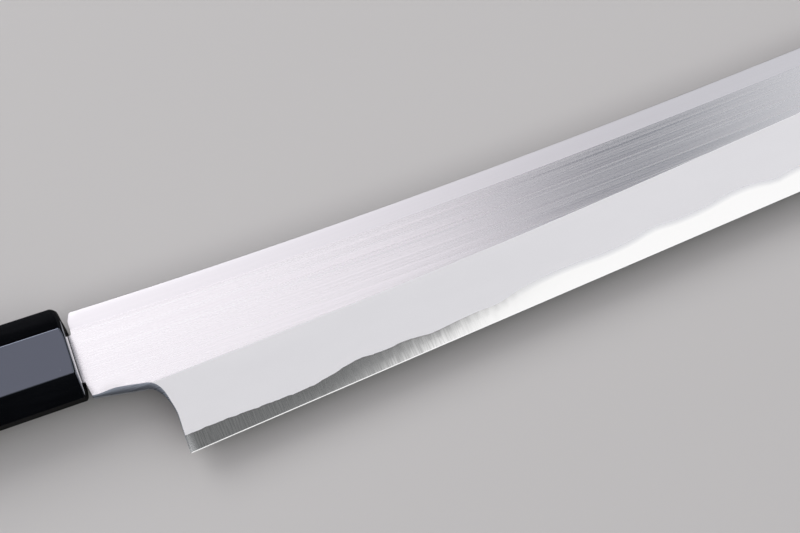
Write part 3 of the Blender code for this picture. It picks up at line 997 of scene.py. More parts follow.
    def map_surface(self, mesh: bpy.types.Mesh, order: Array, heights: Array, upper: Array) -> None:
        """Give the mesh its two maps, in millimetres.

        The brush map holds the distance under the spine and the place along the blade. The
        border map holds the height over the steel's border and over the edge.

        Args:
            mesh: The mesh.
            order: Point of the plan under each vertex.
            heights: Height of each vertex.
            upper: Height of the upper face at each point of the plan.
        """
        drawing = self.plan.drawing
        u, v = self.plan.points[order].T
        sunk = upper[order] - heights
        brush = np.column_stack((drawing.spine_v(u) - v + sunk, u))
        border = np.column_stack((v - drawing.border_v(u), v - drawing.edge_v(u)))
        corner = np.zeros(len(mesh.loops), int)
        mesh.loops.foreach_get("vertex_index", corner)
        for name, values in ((BRUSH_MAP, brush), (BORDER_MAP, border)):
            layer = mesh.uv_layers.new(name=name)
            layer.uv.foreach_set("vector", values[corner].astype(np.float32).ravel())

    def mark_creases(self, mesh: bpy.types.Mesh, marks: list[int]) -> None:
        """Shade the mesh smooth, with sharp edges at its real corners and crisp lines.

        Args:
            mesh: The mesh.
            marks: Skin of each face.
        """
        bm = bmesh.new()
        bm.from_mesh(mesh)
        bm.faces.ensure_lookup_table()
        for face in bm.faces:
            face.smooth = True
        for edge in bm.edges:
            if len(edge.link_faces) != 2:
                continue
            pair = frozenset(Skin(marks[face.index]) for face in edge.link_faces)
            edge.smooth = edge.calc_face_angle(0.0) < self.crease and pair not in CRISP
        bm.to_mesh(mesh)
        bm.free()


@dataclass(frozen=True)
class HandleDrawing:
    """Octagonal handle: ferrule in front, grip behind, both on one taper."""

    length: float = 150.0
    ferrule_length: float = 30.0
    # Octagon at the front and at the butt
    front_height: float = 21.6
    front_width: float = 17.6
    front_side: float = 10.6
    front_top: float = 7.9
    butt_height: float = 24.2
    butt_width: float = 19.8
    butt_side: float = 11.9
    butt_top: float = 8.9
    # Turned front of the ferrule
    front_reach: float = -0.35
    ferrule_round: float = 0.9
    ferrule_round_run: float = 0.5
    turned_radius: float = 8.8
    turned_fall: float = 0.32
    turned_squeeze: float = 0.9
    turned_power: float = 1.9
    crown_start: float = 3.0
    crown_fall: float = 0.013
    face_lean: float = 0.0045
    lean_depth: float = 12.4
    edge_side: Span = (-9.0, -4.0)
    edge_side_share: float = 0.38
    face_shares: tuple[float, ...] = (0.96, 0.92, 0.88, 0.84, 0.8, 0.75, 0.68, 0.6, 0.5, 0.4, 0.28, 0.15)
    # Eased ends, joint and arrises
    facet_steps: int = 8
    butt_round: float = 1.0
    joint_round: float = 0.12
    glue_line: float = 0.05
    ferrule_arris: float = 0.14
    grip_arris: float = 0.3
    arris_steps: int = 5
    round_steps: int = 9
    # Bore for the core, and slot for the tang
    front_wall: float = 4.0
    bore_height: float = 17.6
    bore_width: float = 12.6
    bore_round_share: float = 0.49
    bore_reach: float = 99.6
    slot_growth: float = 1.2
    corner_steps: int = 12

    def octagon(self, x: float, inset: float, arris: float) -> Array:
        """Section of the handle at x, drawn in along every facet, with eased corners.

        Args:
            x: Place along the handle.
            inset: How far each facet is drawn in.
            arris: How far each corner is eased to either side.

        Returns:
            One row of x, y and z for each point.
        """
        share = -x / self.length
        height = self.front_height + (self.butt_height - self.front_height) * share
        width = self.front_width + (self.butt_width - self.front_width) * share
        side = self.front_side + (self.butt_side - self.front_side) * share
        top = self.front_top + (self.butt_top - self.front_top) * share
        lean = math.atan2(height - side, width - top)
        y_far, z_far = height / 2 - inset, width / 2 - inset
        z_near = top / 2 - inset * math.tan((math.pi / 2 - lean) / 2)
        y_near = side / 2 - inset * math.tan(lean / 2)
        corners = [(y_far, z_near), (y_near, z_far), (-y_near, z_far), (-y_far, z_near),
                   (-y_far, -z_near), (-y_near, -z_far), (y_near, -z_far), (y_far, -z_near)]
        ring = []
        for index, corner in enumerate(corners):
            here = np.array(corner)
            back = np.array(corners[index - 1]) - here
            ahead = np.array(corners[(index + 1) % len(corners)]) - here
            start = here + back / np.linalg.norm(back) * arris
            end = here + ahead / np.linalg.norm(ahead) * arris
            for step in range(self.arris_steps + 1):
                t = step / self.arris_steps
                point = (1 - t) ** 2 * start + 2 * t * (1 - t) * here + t * t * end
                ring.append((x, *point))
            length = np.linalg.norm(ahead)
            for step in range(1, self.facet_steps):
                ring.append((x, *(end + ahead / length * (length - 2 * arris) * step / self.facet_steps)))
        return np.array(ring)

    def turned(self, ring: Array) -> Array:
        """Draw a ring back past the front's turned rim, towards the spine and under its upper rim.

        Args:
            ring: Rows of x, y and z.

        Returns:
            The ring's new rows.
        """
        out = np.clip(np.hypot(ring[:, 1] * self.turned_squeeze, ring[:, 2]) - self.turned_radius, 0.0, None)
        high = np.clip(ring[:, 1] - self.crown_start, 0.0, None)
        deep = np.clip(self.front_width / 2 - ring[:, 2], 0.0, self.lean_depth)
        fall = self.turned_fall * out ** self.turned_power + self.face_lean * deep ** 2
        fall *= self.edge_side_share + (1 - self.edge_side_share) * smooth_step(ring[:, 1], *self.edge_side)
        fall += self.crown_fall * high ** 2
        return ring - np.outer(fall, (1.0, 0.0, 0.0))

    def ferrule_sections(self) -> list[Array]:
        """Sections of the ferrule, from the joint to the turned front face.

        Returns:
            One ring for each section, rear end first.
        """
        rings = self.stretch(-self.ferrule_length, self.front_reach, self.ferrule_arris, self.joint_round,
                             self.ferrule_round, self.ferrule_round_run)
        middle = len(rings) // 2
        face = [rings[-1] * (1.0, share, share) for share in self.face_shares]
        return rings[:middle] + [self.turned(ring) for ring in rings[middle:] + face]

    def stretch(self, rear: float, front: float, arris: float, rear_round: float,
                front_round: float, front_run: float) -> list[Array]:
        """Sections of a stretch of the handle with eased ends.

        Args:
            rear: Rear end.
            front: Front end.
            arris: How far the facets' corners are eased.
            rear_round: Radius at the rear end.
            front_round: Depth of the front end's round.
            front_run: Length of the front end's round.

        Returns:
            One ring of points for each section, rear end first.
        """
        angles = np.linspace(0.0, math.pi / 2, self.round_steps + 1)
        sections = [(rear + rear_round * (1 - math.cos(angle)), rear_round * (1 - math.sin(angle)))
                    for angle in angles]
        sections += [(front - front_run * (1 - math.cos(angle)), front_round * (1 - math.sin(angle)))
                     for angle in angles[::-1]]
        return [self.octagon(x, inset, arris) for x, inset in sections]

    def oval(self, height: float, width: float, radius: float, middle: float) -> Array:
        """Rectangle with round corners in y and z.

        Args:
            height: Its size in y.
            width: Its size in z.
            radius: Radius of its corners.
            middle: Its middle in y.

        Returns:
            One row of y and z for each point.
        """
        ring = []
        for corner, (side_y, side_z) in enumerate(((1, 1), (-1, 1), (-1, -1), (1, -1))):
            for step in range(self.corner_steps + 1):
                angle = math.pi / 2 * (corner + step / self.corner_steps)
                ring.append((middle + side_y * (height / 2 - radius) + radius * math.cos(angle),
                             side_z * (width / 2 - radius) + radius * math.sin(angle)))
        return np.array(ring)


def loft(name: str, sections: Sequence[Array], zero: Vector, closed: bool = False) -> bpy.types.Object:
    """Skin a row of sections.

    Args:
        name: Name of the piece.
        sections: Rings of x, y and z in millimetres, with equally many points.
        zero: Place of the handle's zero in the frame.
        closed: True where the last section joins the first. Both ends are capped otherwise.

    Returns:
        The piece.
    """
    bm = bmesh.new()
    rings = [[bm.verts.new((Vector(point) + zero) * MM) for point in section] for section in sections]
    for near, far in zip(rings, rings[1:] + rings[:1] if closed else rings[1:]):
        for index in range(len(near)):
            after = (index + 1) % len(near)
            bm.faces.new((near[index], near[after], far[after], far[index]))
    if not closed:
        bm.faces.new(rings[0])
        bm.faces.new(rings[-1])
    bmesh.ops.recalc_face_normals(bm, faces=bm.faces)
    for face in bm.faces:
        face.smooth = True
    mesh = bpy.data.meshes.new(name)
    bm.to_mesh(mesh)
    bm.free()
    return add_object(name, mesh)


def prism(name: str, outline: Array, low: float, high: float, zero: Vector) -> bpy.types.Object:
    """Extrude an outline of y and z between two places along the handle."""
    ends = [np.column_stack((np.full(len(outline), x), outline)) for x in (low, high)]
    return loft(name, ends, zero)


def apply_modifiers(piece: bpy.types.Object) -> None:
    """Put what a piece's modifiers make in place of its mesh.

    Args:
        piece: The piece, which keeps no modifier.
    """
    bpy.context.view_layer.update()
    made = bpy.data.meshes.new_from_object(piece.evaluated_get(bpy.context.evaluated_depsgraph_get()))
    piece.modifiers.clear()
    piece.data = made
    made.name = piece.name


def cut(piece: bpy.types.Object, tools: Sequence[bpy.types.Object], crease: float) -> None:
    """Take tools out of a piece, and let its large faces rule the shading of the small ones.

    Args:
        piece: What is cut. Its mesh is replaced by the finished one.
        tools: What is taken out. They are removed.
        crease: Angle past which an edge is sharp.
    """
    for tool in tools:
        modifier = piece.modifiers.new(tool.name, "BOOLEAN")
        modifier.operation = "DIFFERENCE"
        modifier.object = tool
    apply_modifiers(piece)
    piece.data.shade_smooth()
    piece.data.set_sharp_from_angle(angle=crease)
    for tool in tools:
        bpy.data.objects.remove(tool)
    modifier = piece.modifiers.new("facets", "WEIGHTED_NORMAL")
    modifier.keep_sharp = True
    apply_modifiers(piece)


@dataclass
class HandleMaker:
    """Makes the ferrule, the grip and the resin in the ferrule's mouth."""

    drawing: HandleDrawing
    blade: BladeDrawing
    zero: Vector
    spare: float = 4.0
    crease: float = math.radians(28)
    meniscus_rise: float = 0.12
    meniscus_dip: float = 2.0
    meniscus_steps: int = 5
    tang_line: float = 0.02

    def bore(self, name: str, low: float, high: float) -> bpy.types.Object:
        """Tool for the core's bore.

        Args:
            name: Name of the tool.
            low: Its rear end.
            high: Its front end.

        Returns:
            The tool.
        """
        drawing = self.drawing
        radius = drawing.bore_width * drawing.bore_round_share
        outline = drawing.oval(drawing.bore_height, drawing.bore_width, radius, 0.0)
        return prism(name, outline, low, high, self.zero)

    def mouth(self, growth: float) -> Array:
        """Outline around the tang's root, grown by a distance.

        Args:
            growth: The distance.

        Returns:
            One row of y and z for each point.
        """
        low, high, _ = self.blade.tang_limits(np.array(0.0))
        width = self.blade.machi_thickness + 2 * growth
        height = float(high - low) + 2 * growth
        return self.drawing.oval(height, width, min(growth, width / 3), float(low + high) / 2)

    def ferrule(self) -> bpy.types.Object:
        """Make the horn ferrule.

        Returns:
            The piece.
        """
        drawing = self.drawing
        piece = loft("horn_ferrule", drawing.ferrule_sections(), self.zero)
        bore = self.bore("ferrule_bore", -drawing.ferrule_length - self.spare, -drawing.front_wall)
        slot = prism("ferrule_slot", self.mouth(drawing.slot_growth), -drawing.front_wall - self.spare,
                     self.spare, self.zero)
        cut(piece, (bore, slot), self.crease)
        return piece

    def grip(self) -> bpy.types.Object:
        """Make the ebony grip.

        Returns:
            The piece.
        """
        drawing = self.drawing
        front = -drawing.ferrule_length - drawing.glue_line
        sections = drawing.stretch(-drawing.length, front, drawing.grip_arris, drawing.butt_round,
                                   drawing.joint_round, drawing.joint_round)
        piece = loft("ebony_grip", sections, self.zero)
        cut(piece, (self.bore("grip_bore", -drawing.bore_reach, front + self.spare),), self.crease)
        return piece

    def seal(self) -> bpy.types.Object:
        """Make the resin around the tang, drawn up against the steel as it set.

        Returns:
            The piece.
        """
        drawing = self.drawing
        outer = drawing.slot_growth - self.tang_line
        rings = [self.ring(self.tang_line, -drawing.front_wall), self.ring(outer, -drawing.front_wall)]
        for step in range(self.meniscus_steps + 1):
            share = step / self.meniscus_steps
            growth = outer + (self.tang_line - outer) * share
            rise = self.meniscus_rise * (share ** 3 - self.meniscus_dip * (1 - share) ** 2)
            rings.append(drawing.turned(self.ring(growth, drawing.front_reach + rise)))
        piece = loft("resin_seal", rings, self.zero, closed=True)
        piece.data.set_sharp_from_angle(angle=self.crease)
        return piece

    def ring(self, growth: float, x: float) -> Array:
        """Outline of the mouth at x, grown by a distance."""
        outline = self.mouth(growth)
        return np.column_stack((np.full(len(outline), x), outline))


def paint(colour: Colour) -> tuple[float, float, float, float]:
    """Add full cover to a colour."""
    return (*colour, 1.0)


class Nodes:
    """Node tree with short calls to set its nodes up."""

    def __init__(self, holder: bpy.types.Material | bpy.types.World, shader: str) -> None:
        """Turn a holder's nodes on.

        Args:
            holder: The material or world.
            shader: Name of the shader that its nodes feed.
        """
        holder.use_nodes = True
        self.tree = holder.node_tree
        self.shader = self.tree.nodes[shader]

    def node(self, kind: str, inputs: dict[str | int, object] | None = None,
             **settings: object) -> bpy.types.Node:
        """Add a node.

        Args:
            kind: Blender's name of the node.
            inputs: Values or sockets for its inputs.
            settings: The node's own settings.

        Returns:
            The node.
        """
        made = self.tree.nodes.new(kind)
        for key, value in settings.items():
            setattr(made, key, value)
        for key, value in (inputs or {}).items():
            self.feed(made.inputs[key], value)
        return made

    def feed(self, socket: Socket, value: object) -> None:
        """Link a socket to another, or set its value.

        Args:
            socket: The input.
            value: An output's socket, or a plain value.
        """
        if isinstance(value, bpy.types.NodeSocket):
            self.tree.links.new(value, socket)
        else:
            socket.default_value = value

    def fill(self, values: dict[str, object]) -> None:
        """Link or set the shader's inputs by their names."""
        for name, value in values.items():
            self.feed(self.shader.inputs[name], value)

    def math(self, operation: str, first: object, second: object = 0.0, third: object = 0.0) -> Socket:
        """Add a sum, product or the like."""
        return self.node("ShaderNodeMath", {0: first, 1: second, 2: third}, operation=operation).outputs[0]

    def blend(self, first: Socket, second: Socket, share: float) -> Socket:
        """Add the first value's share and the rest of the second."""
        return self.math("MULTIPLY_ADD", first, share, self.math("MULTIPLY", second, 1 - share))

    def ease(self, value: Socket, start: float, end: float, low: float = 0.0, high: float = 1.0) -> Socket:
        """Ease from low to high while a value goes from start to end.

        Args:
            value: What the ease follows.
            start: Where it begins.
            end: Where it ends.
            low: Result at the start.
            high: Result at the end.

        Returns:
            The eased value.
        """
        limits = {"Value": value, "From Min": start, "From Max": end, "To Min": low, "To Max": high}
        return self.node("ShaderNodeMapRange", limits, interpolation_type="SMOOTHSTEP").outputs[0]

    def mix(self, share: object, first: object, second: object) -> Socket:
        """Blend two colours.

        Args:
            share: Share of the second.
            first: A colour or its socket.
            second: Another.

        Returns:
            The blend.
        """
        made = self.node("ShaderNodeMix", data_type="RGBA")
        for place, value in zip(MIX_INPUTS, (share, first, second)):
            self.feed(made.inputs[place], value)
        return made.outputs[MIX_OUTPUT]

    def tones(self, value: Socket, span: Span, first: Colour, second: Colour) -> Socket:
        """Ease from one colour to another while a value goes through a span."""
        return self.mix(self.ease(value, *span), paint(first), paint(second))

    def place(self, kind: str = "Object") -> Socket:
        """Read where a point is."""
        return self.node("ShaderNodeTexCoord").outputs[kind]

    def map(self, name: str) -> Socket:
        """Read one of the blade's maps."""
        return self.node("ShaderNodeUVMap", uv_map=name).outputs[0]

    def part(self, vector: Socket, axis: int) -> Socket:
        """Take one number out of a place or colour."""
        return self.node("ShaderNodeSeparateXYZ", {0: vector}).outputs[axis]

    def scaled(self, place: Socket, scales: tuple[float, float, float]) -> Socket:
        """Scale a place along each axis."""
        return self.node("ShaderNodeVectorMath", {0: place, 1: scales}, operation="MULTIPLY").outputs[0]

    def noise(self, place: Socket, detail: float, scale: float = 1.0, rough: float = 0.5) -> Socket:
        """Noise around one half, of so many finer layers."""
        inputs = {"Vector": place, "Scale": scale, "Detail": detail, "Roughness": rough}
        return self.node("ShaderNodeTexNoise", inputs).outputs[0]

    def streaks(self, place: Socket, across: float, along: float, detail: float = 2.0) -> Socket:
        """Noise drawn out along a map's second axis.

        Args:
            place: Where it is read.
            across: Width of a streak.
            along: Length of a streak.
            detail: Number of finer layers.

        Returns:
            A value around one half.
        """
        return self.noise(self.scaled(place, (1 / across, 1 / along, 1.0)), detail, rough=STREAK_ROUGH)


class Bench(Nodes):
    """Nodes of one finish."""

    def __init__(self, name: str) -> None:
        """Start a material by its name."""
        self.material = bpy.data.materials.new(name)
        super().__init__(self.material, "Principled BSDF")

    def base(self, colour: object, rough: object, metal: float = 0.0) -> None:
        """Set colour, roughness and metal."""
        self.fill({"Base Color": colour, "Roughness": rough, "Metallic": metal})

    def relief(self, height: Socket, depth: float, strength: float = 1.0) -> None:
        """Raise the surface by a height of so many millimetres."""
        bump = self.node("ShaderNodeBump", {"Height": height, "Strength": strength, "Distance": depth * MM})
        self.fill({"Normal": bump.outputs[0]})

    def grain(self, name: str, turn: float, amount: float) -> None:
        """Draw highlights out across the brush lines.

        Args:
            name: The map whose first axis is the brush lines' cross direction.
            turn: Share of a full turn from that axis.
            amount: How far, from 0 to 1.
        """
        tangent = self.node("ShaderNodeTangent", direction_type="UV_MAP", uv_map=name)
        self.fill({"Anisotropic": amount, "Anisotropic Rotation": turn, "Tangent": tangent.outputs[0]})


@dataclass(frozen=True)
class BrushedIron:
    """Iron brushed lengthwise to a satin."""

    name: str = "brushed_iron"
    light: Colour = (0.81, 0.80, 0.82)
    dark: Colour = (0.795, 0.787, 0.806)
    smooth: float = 0.2
    coarse: float = 0.29
    line: float = 0.46
    run: float = 150.0
    band: float = 1.6
    band_run: float = 420.0
    line_share: float = 0.8
    span: Span = (0.34, 0.66)
    stretch: float = 0.95

    def material(self) -> bpy.types.Material:
        """Mix the finish.

        Returns:
            The material.
        """
        bench = Bench(self.name)
        place = bench.map(BRUSH_MAP)
        lines = bench.streaks(place, self.line, self.run, detail=1.0)
        bands = bench.streaks(place, self.band, self.band_run, detail=1.0)
        both = bench.blend(lines, bands, self.line_share)
        colour = bench.tones(both, self.span, self.dark, self.light)
        bench.base(colour, bench.ease(both, *self.span, self.coarse, self.smooth), metal=1.0)
        bench.grain(BRUSH_MAP, 0.0, self.stretch)
        return bench.material


@dataclass(frozen=True)
class MistedIron:
    """Iron honed on soft stones to an even mist."""

    name: str = "misted_iron"
    light: Colour = (0.94, 0.938, 0.955)
    dark: Colour = (0.915, 0.913, 0.93)
    rough: float = 0.6
    metal: float = 0.25
    cloud: Span = (9.0, 27.0)
    speck: Span = (0.18, 0.45)
    speck_depth: float = 0.0008
    cloud_share: float = 0.6
    span: Span = (0.3, 0.7)

    def material(self) -> bpy.types.Material:
        """Mix the finish.

        Returns:
            The material.
        """
        bench = Bench(self.name)
        place = bench.map(BRUSH_MAP)
        clouds = bench.streaks(place, *self.cloud)
        specks = bench.streaks(place, *self.speck)
        both = bench.blend(clouds, specks, self.cloud_share)
        bench.base(bench.tones(both, self.span, self.dark, self.light), self.rough, self.metal)
        bench.relief(specks, self.speck_depth)
        return bench.material


@dataclass(frozen=True)
class ScratchedSteel:
    """Hard steel honed across the edge: scratched near the heel, with painted shade along its border there
    and a painted highlight at the heel; in front it is calm and dims softly towards its border.
    """

    name: str = "scratched_steel"
    light: Colour = (0.725, 0.72, 0.72)
    dark: Colour = (0.53, 0.527, 0.527)
    smooth: float = 0.06
    coarse: float = 0.1
    line: float = 0.34
    run: float = 6.0
    cut_span: Span = (0.62, 0.36)
    fade: Span = (98.0, 55.0)
    # Painted shade: a darker line along the steel's border, strongest near the heel
    painted_shade: Colour = (0.50, 0.50, 0.50)
    painted_shade_width: float = 0.45
    painted_shade_cover: float = 0.7
    level: Colour = (0.55, 0.55, 0.572)
    level_width: float = 1.6
    level_span: Span = (92.0, 112.0)
    # Painted highlight at the heel's rounded corner, where the steel is also rougher
    heel: Colour = (0.84, 0.845, 0.86)
    heel_highlight_span: Span = (20.6, 17.7)
    heel_rough: float = 0.12
    turn: float = 0.25
    stretch: float = 0.3

    def material(self) -> bpy.types.Material:
        """Mix the finish.

        Returns:
            The material.
        """
        bench = Bench(self.name)
        place = bench.map(BRUSH_MAP)
        lines = bench.streaks(place, self.run, self.line, detail=1.0)
        along = bench.part(place, 1)
        toward_heel = bench.ease(along, *self.fade)
        cuts = bench.math("MULTIPLY", bench.ease(lines, *self.cut_span), toward_heel)
        colour = bench.mix(cuts, paint(self.light), paint(self.dark))
        over = bench.part(bench.map(BORDER_MAP), 0)
        # Painted shade along the border, faded out towards the point
        near = bench.math("MULTIPLY", bench.ease(over, -self.painted_shade_width, 0.0), toward_heel)
        colour = bench.mix(bench.math("MULTIPLY", near, self.painted_shade_cover), colour, paint(self.painted_shade))
        calm = bench.ease(along, *self.level_span)
        soft = bench.math("MULTIPLY", bench.ease(over, -self.level_width, 0.0), calm)
        colour = bench.mix(soft, colour, paint(self.level))
        # Painted highlight at the heel, with more roughness under it
        colour = bench.mix(bench.ease(along, *self.heel_highlight_span), colour, paint(self.heel))
        heel_rough = bench.ease(along, *self.heel_highlight_span, 0.0, self.heel_rough)
        rough = bench.math("ADD", bench.ease(cuts, 0.0, 1.0, self.smooth, self.coarse), heel_rough)
        bench.base(colour, rough, metal=1.0)
        bench.grain(BRUSH_MAP, self.turn, self.stretch)
        return bench.material


@dataclass(frozen=True)
class PlainSteel:
    """Iron or steel with one even finish and a faint grain."""

    name: str
    colour: Colour
    rough: float
    across: float = 0.3
    along: float = 20.0
    swing: float = 0.02
    rough_swing: float = 0.2
    span: Span = (0.3, 0.7)
    depth: float = 0.0003
    metal: float = 1.0

    def material(self) -> bpy.types.Material:
        """Mix the finish.

        Returns:
            The material.
        """
        bench = Bench(self.name)
        grain = bench.streaks(bench.map(BRUSH_MAP), self.across, self.along)
        darker = tuple(part * (1 - 2 * self.swing) for part in self.colour)
        colour = bench.tones(grain, self.span, darker, self.colour)
        coarse, smooth = self.rough * (1 + self.rough_swing), self.rough * (1 - self.rough_swing)
        bench.base(colour, bench.ease(grain, *self.span, coarse, smooth), self.metal)
        bench.relief(grain, self.depth)
        return bench.material


@dataclass(frozen=True)
class Horn:
    """Polished black buffalo horn with a faint cloud and a few pale flecks."""

    name: str = "polished_horn"
    dark: Colour = (0.001, 0.001, 0.0012)
    cloud: Colour = (0.003, 0.003, 0.0034)
    cloud_scales: tuple[float, float, float] = (60.0, 420.0, 420.0)
    cloud_span: Span = (0.4, 0.75)
    rough: Span = (0.056, 0.105)
    rough_span: Span = (0.3, 0.7)
    fleck: Colour = (0.16, 0.16, 0.17)
    fleck_spread: float = 1.9
    fleck_size: float = 0.09
    fleck_heart: float = 0.4
    fleck_pick: Span = (0.8, 0.86)
    sheen: Colour = (0.58, 0.70, 1.0)
    index: float = 1.9
    wax: float = 1.0
    wax_index: float = 1.6

    def material(self) -> bpy.types.Material:
        """Mix the finish.

        Returns:
            The material.
        """
        bench = Bench(self.name)
        place = bench.place()
        clouds = bench.noise(bench.scaled(place, self.cloud_scales), detail=4.0)
        colour = bench.tones(clouds, self.cloud_span, self.dark, self.cloud)
        cells = bench.node("ShaderNodeTexVoronoi", {"Vector": place, "Scale": 1 / (self.fleck_spread * MM)})
        reach = self.fleck_size / self.fleck_spread
        picked = bench.ease(bench.part(cells.outputs["Color"], 0), *self.fleck_pick)
        fleck = bench.ease(cells.outputs["Distance"], reach, reach * self.fleck_heart)
        colour = bench.mix(bench.math("MULTIPLY", fleck, picked), colour, paint(self.fleck))
        bench.base(colour, bench.ease(clouds, *self.rough_span, *self.rough))
        bench.fill({"IOR": self.index, "Specular Tint": paint(self.sheen),
                    "Coat Weight": self.wax, "Coat IOR": self.wax_index})
        return bench.material


@dataclass(frozen=True)
class Wood:
    """Wood with its grain along the handle."""

    name: str
    dark: Colour
    light: Colour
    rough: float
    grain: float = 0.5
    run: float = 26.0
    depth: float = 0.01
    strength: float = 0.6
    broad_scale: float = 0.14
    fibre_share: float = 0.6
    span: Span = (0.35, 0.68)
    pore_span: Span = (0.36, 0.3)
    pore_rough: float = 0.25

    def material(self) -> bpy.types.Material:
        """Mix the finish.

        Returns:
            The material.
        """
        bench = Bench(self.name)
        across = 1 / (self.grain * MM)
        drawn = bench.scaled(bench.place(), (1 / (self.run * MM), across, across))
        fibre = bench.noise(drawn, detail=5.0)
        both = bench.blend(fibre, bench.noise(drawn, detail=2.0, scale=self.broad_scale), self.fibre_share)
        pores = bench.ease(fibre, *self.pore_span)
        rough = bench.math("MULTIPLY_ADD", pores, self.pore_rough, self.rough)
        bench.base(bench.tones(both, self.span, self.dark, self.light), rough)
        bench.relief(bench.math("SUBTRACT", fibre, pores), self.depth, self.strength)
        return bench.material


@dataclass(frozen=True)
class Resin:
    """Black resin with a dull, slightly uneven skin."""

    name: str = "black_resin"
    dark: Colour = (0.008, 0.008, 0.009)
    pale: Colour = (0.014, 0.014, 0.015)
    rough: float = 0.35
    lump_scale: float = 900.0
    depth: float = 0.03
    strength: float = 0.5

    def material(self) -> bpy.types.Material:
        """Mix the finish.

        Returns:
            The material.
        """
        bench = Bench(self.name)
        lumps = bench.noise(bench.place(), detail=3.0, scale=self.lump_scale)
        bench.base(bench.mix(lumps, paint(self.dark), paint(self.pale)), self.rough)
        bench.relief(lumps, self.depth, self.strength)
        return bench.material


EBONY = Wood("oiled_ebony", dark=(0.006, 0.0045, 0.004), light=(0.022, 0.015, 0.011), rough=0.28)
MAGNOLIA = Wood("magnolia", dark=(0.50, 0.39, 0.24), light=(0.68, 0.56, 0.38), rough=0.65, grain=0.8)

BLADE_FINISHES = {
    Skin.HIRA: BrushedIron(),
    Skin.ROLL: BrushedIron("brushed_roll", light=(0.84, 0.83, 0.852), dark=(0.825, 0.816, 0.837),
                           smooth=0.3, coarse=0.34, stretch=0.3),
    Skin.SPINE: PlainSteel("brushed_spine", (0.78, 0.775, 0.785), rough=0.36),
    Skin.BEVEL: MistedIron(),
    # Neck round: the blade's steel in a much darker colour, painted shade for the dark band along the neck
    Skin.NECK: PlainSteel("neck_painted_shade", (0.30, 0.33, 0.385), rough=0.3, metal=0.5),
    Skin.HIDDEN: PlainSteel("forged_iron", (0.35, 0.34, 0.34), rough=0.5),
    Skin.EDGE_BAND: ScratchedSteel(),
    Skin.EDGE_LINE: PlainSteel("bright_edge", (0.76, 0.76, 0.76), rough=0.12),
    Skin.HOLLOW: PlainSteel("ground_hollow", (0.62, 0.63, 0.65), rough=0.22,
                            across=0.25, along=30.0, swing=0.08),
    Skin.RIM: PlainSteel("honed_rim", (0.7, 0.71, 0.73), rough=0.12),
    Skin.NECK_WALL: PlainSteel("dull_neck", (0.56, 0.58, 0.62), rough=0.5, metal=0.0),
}


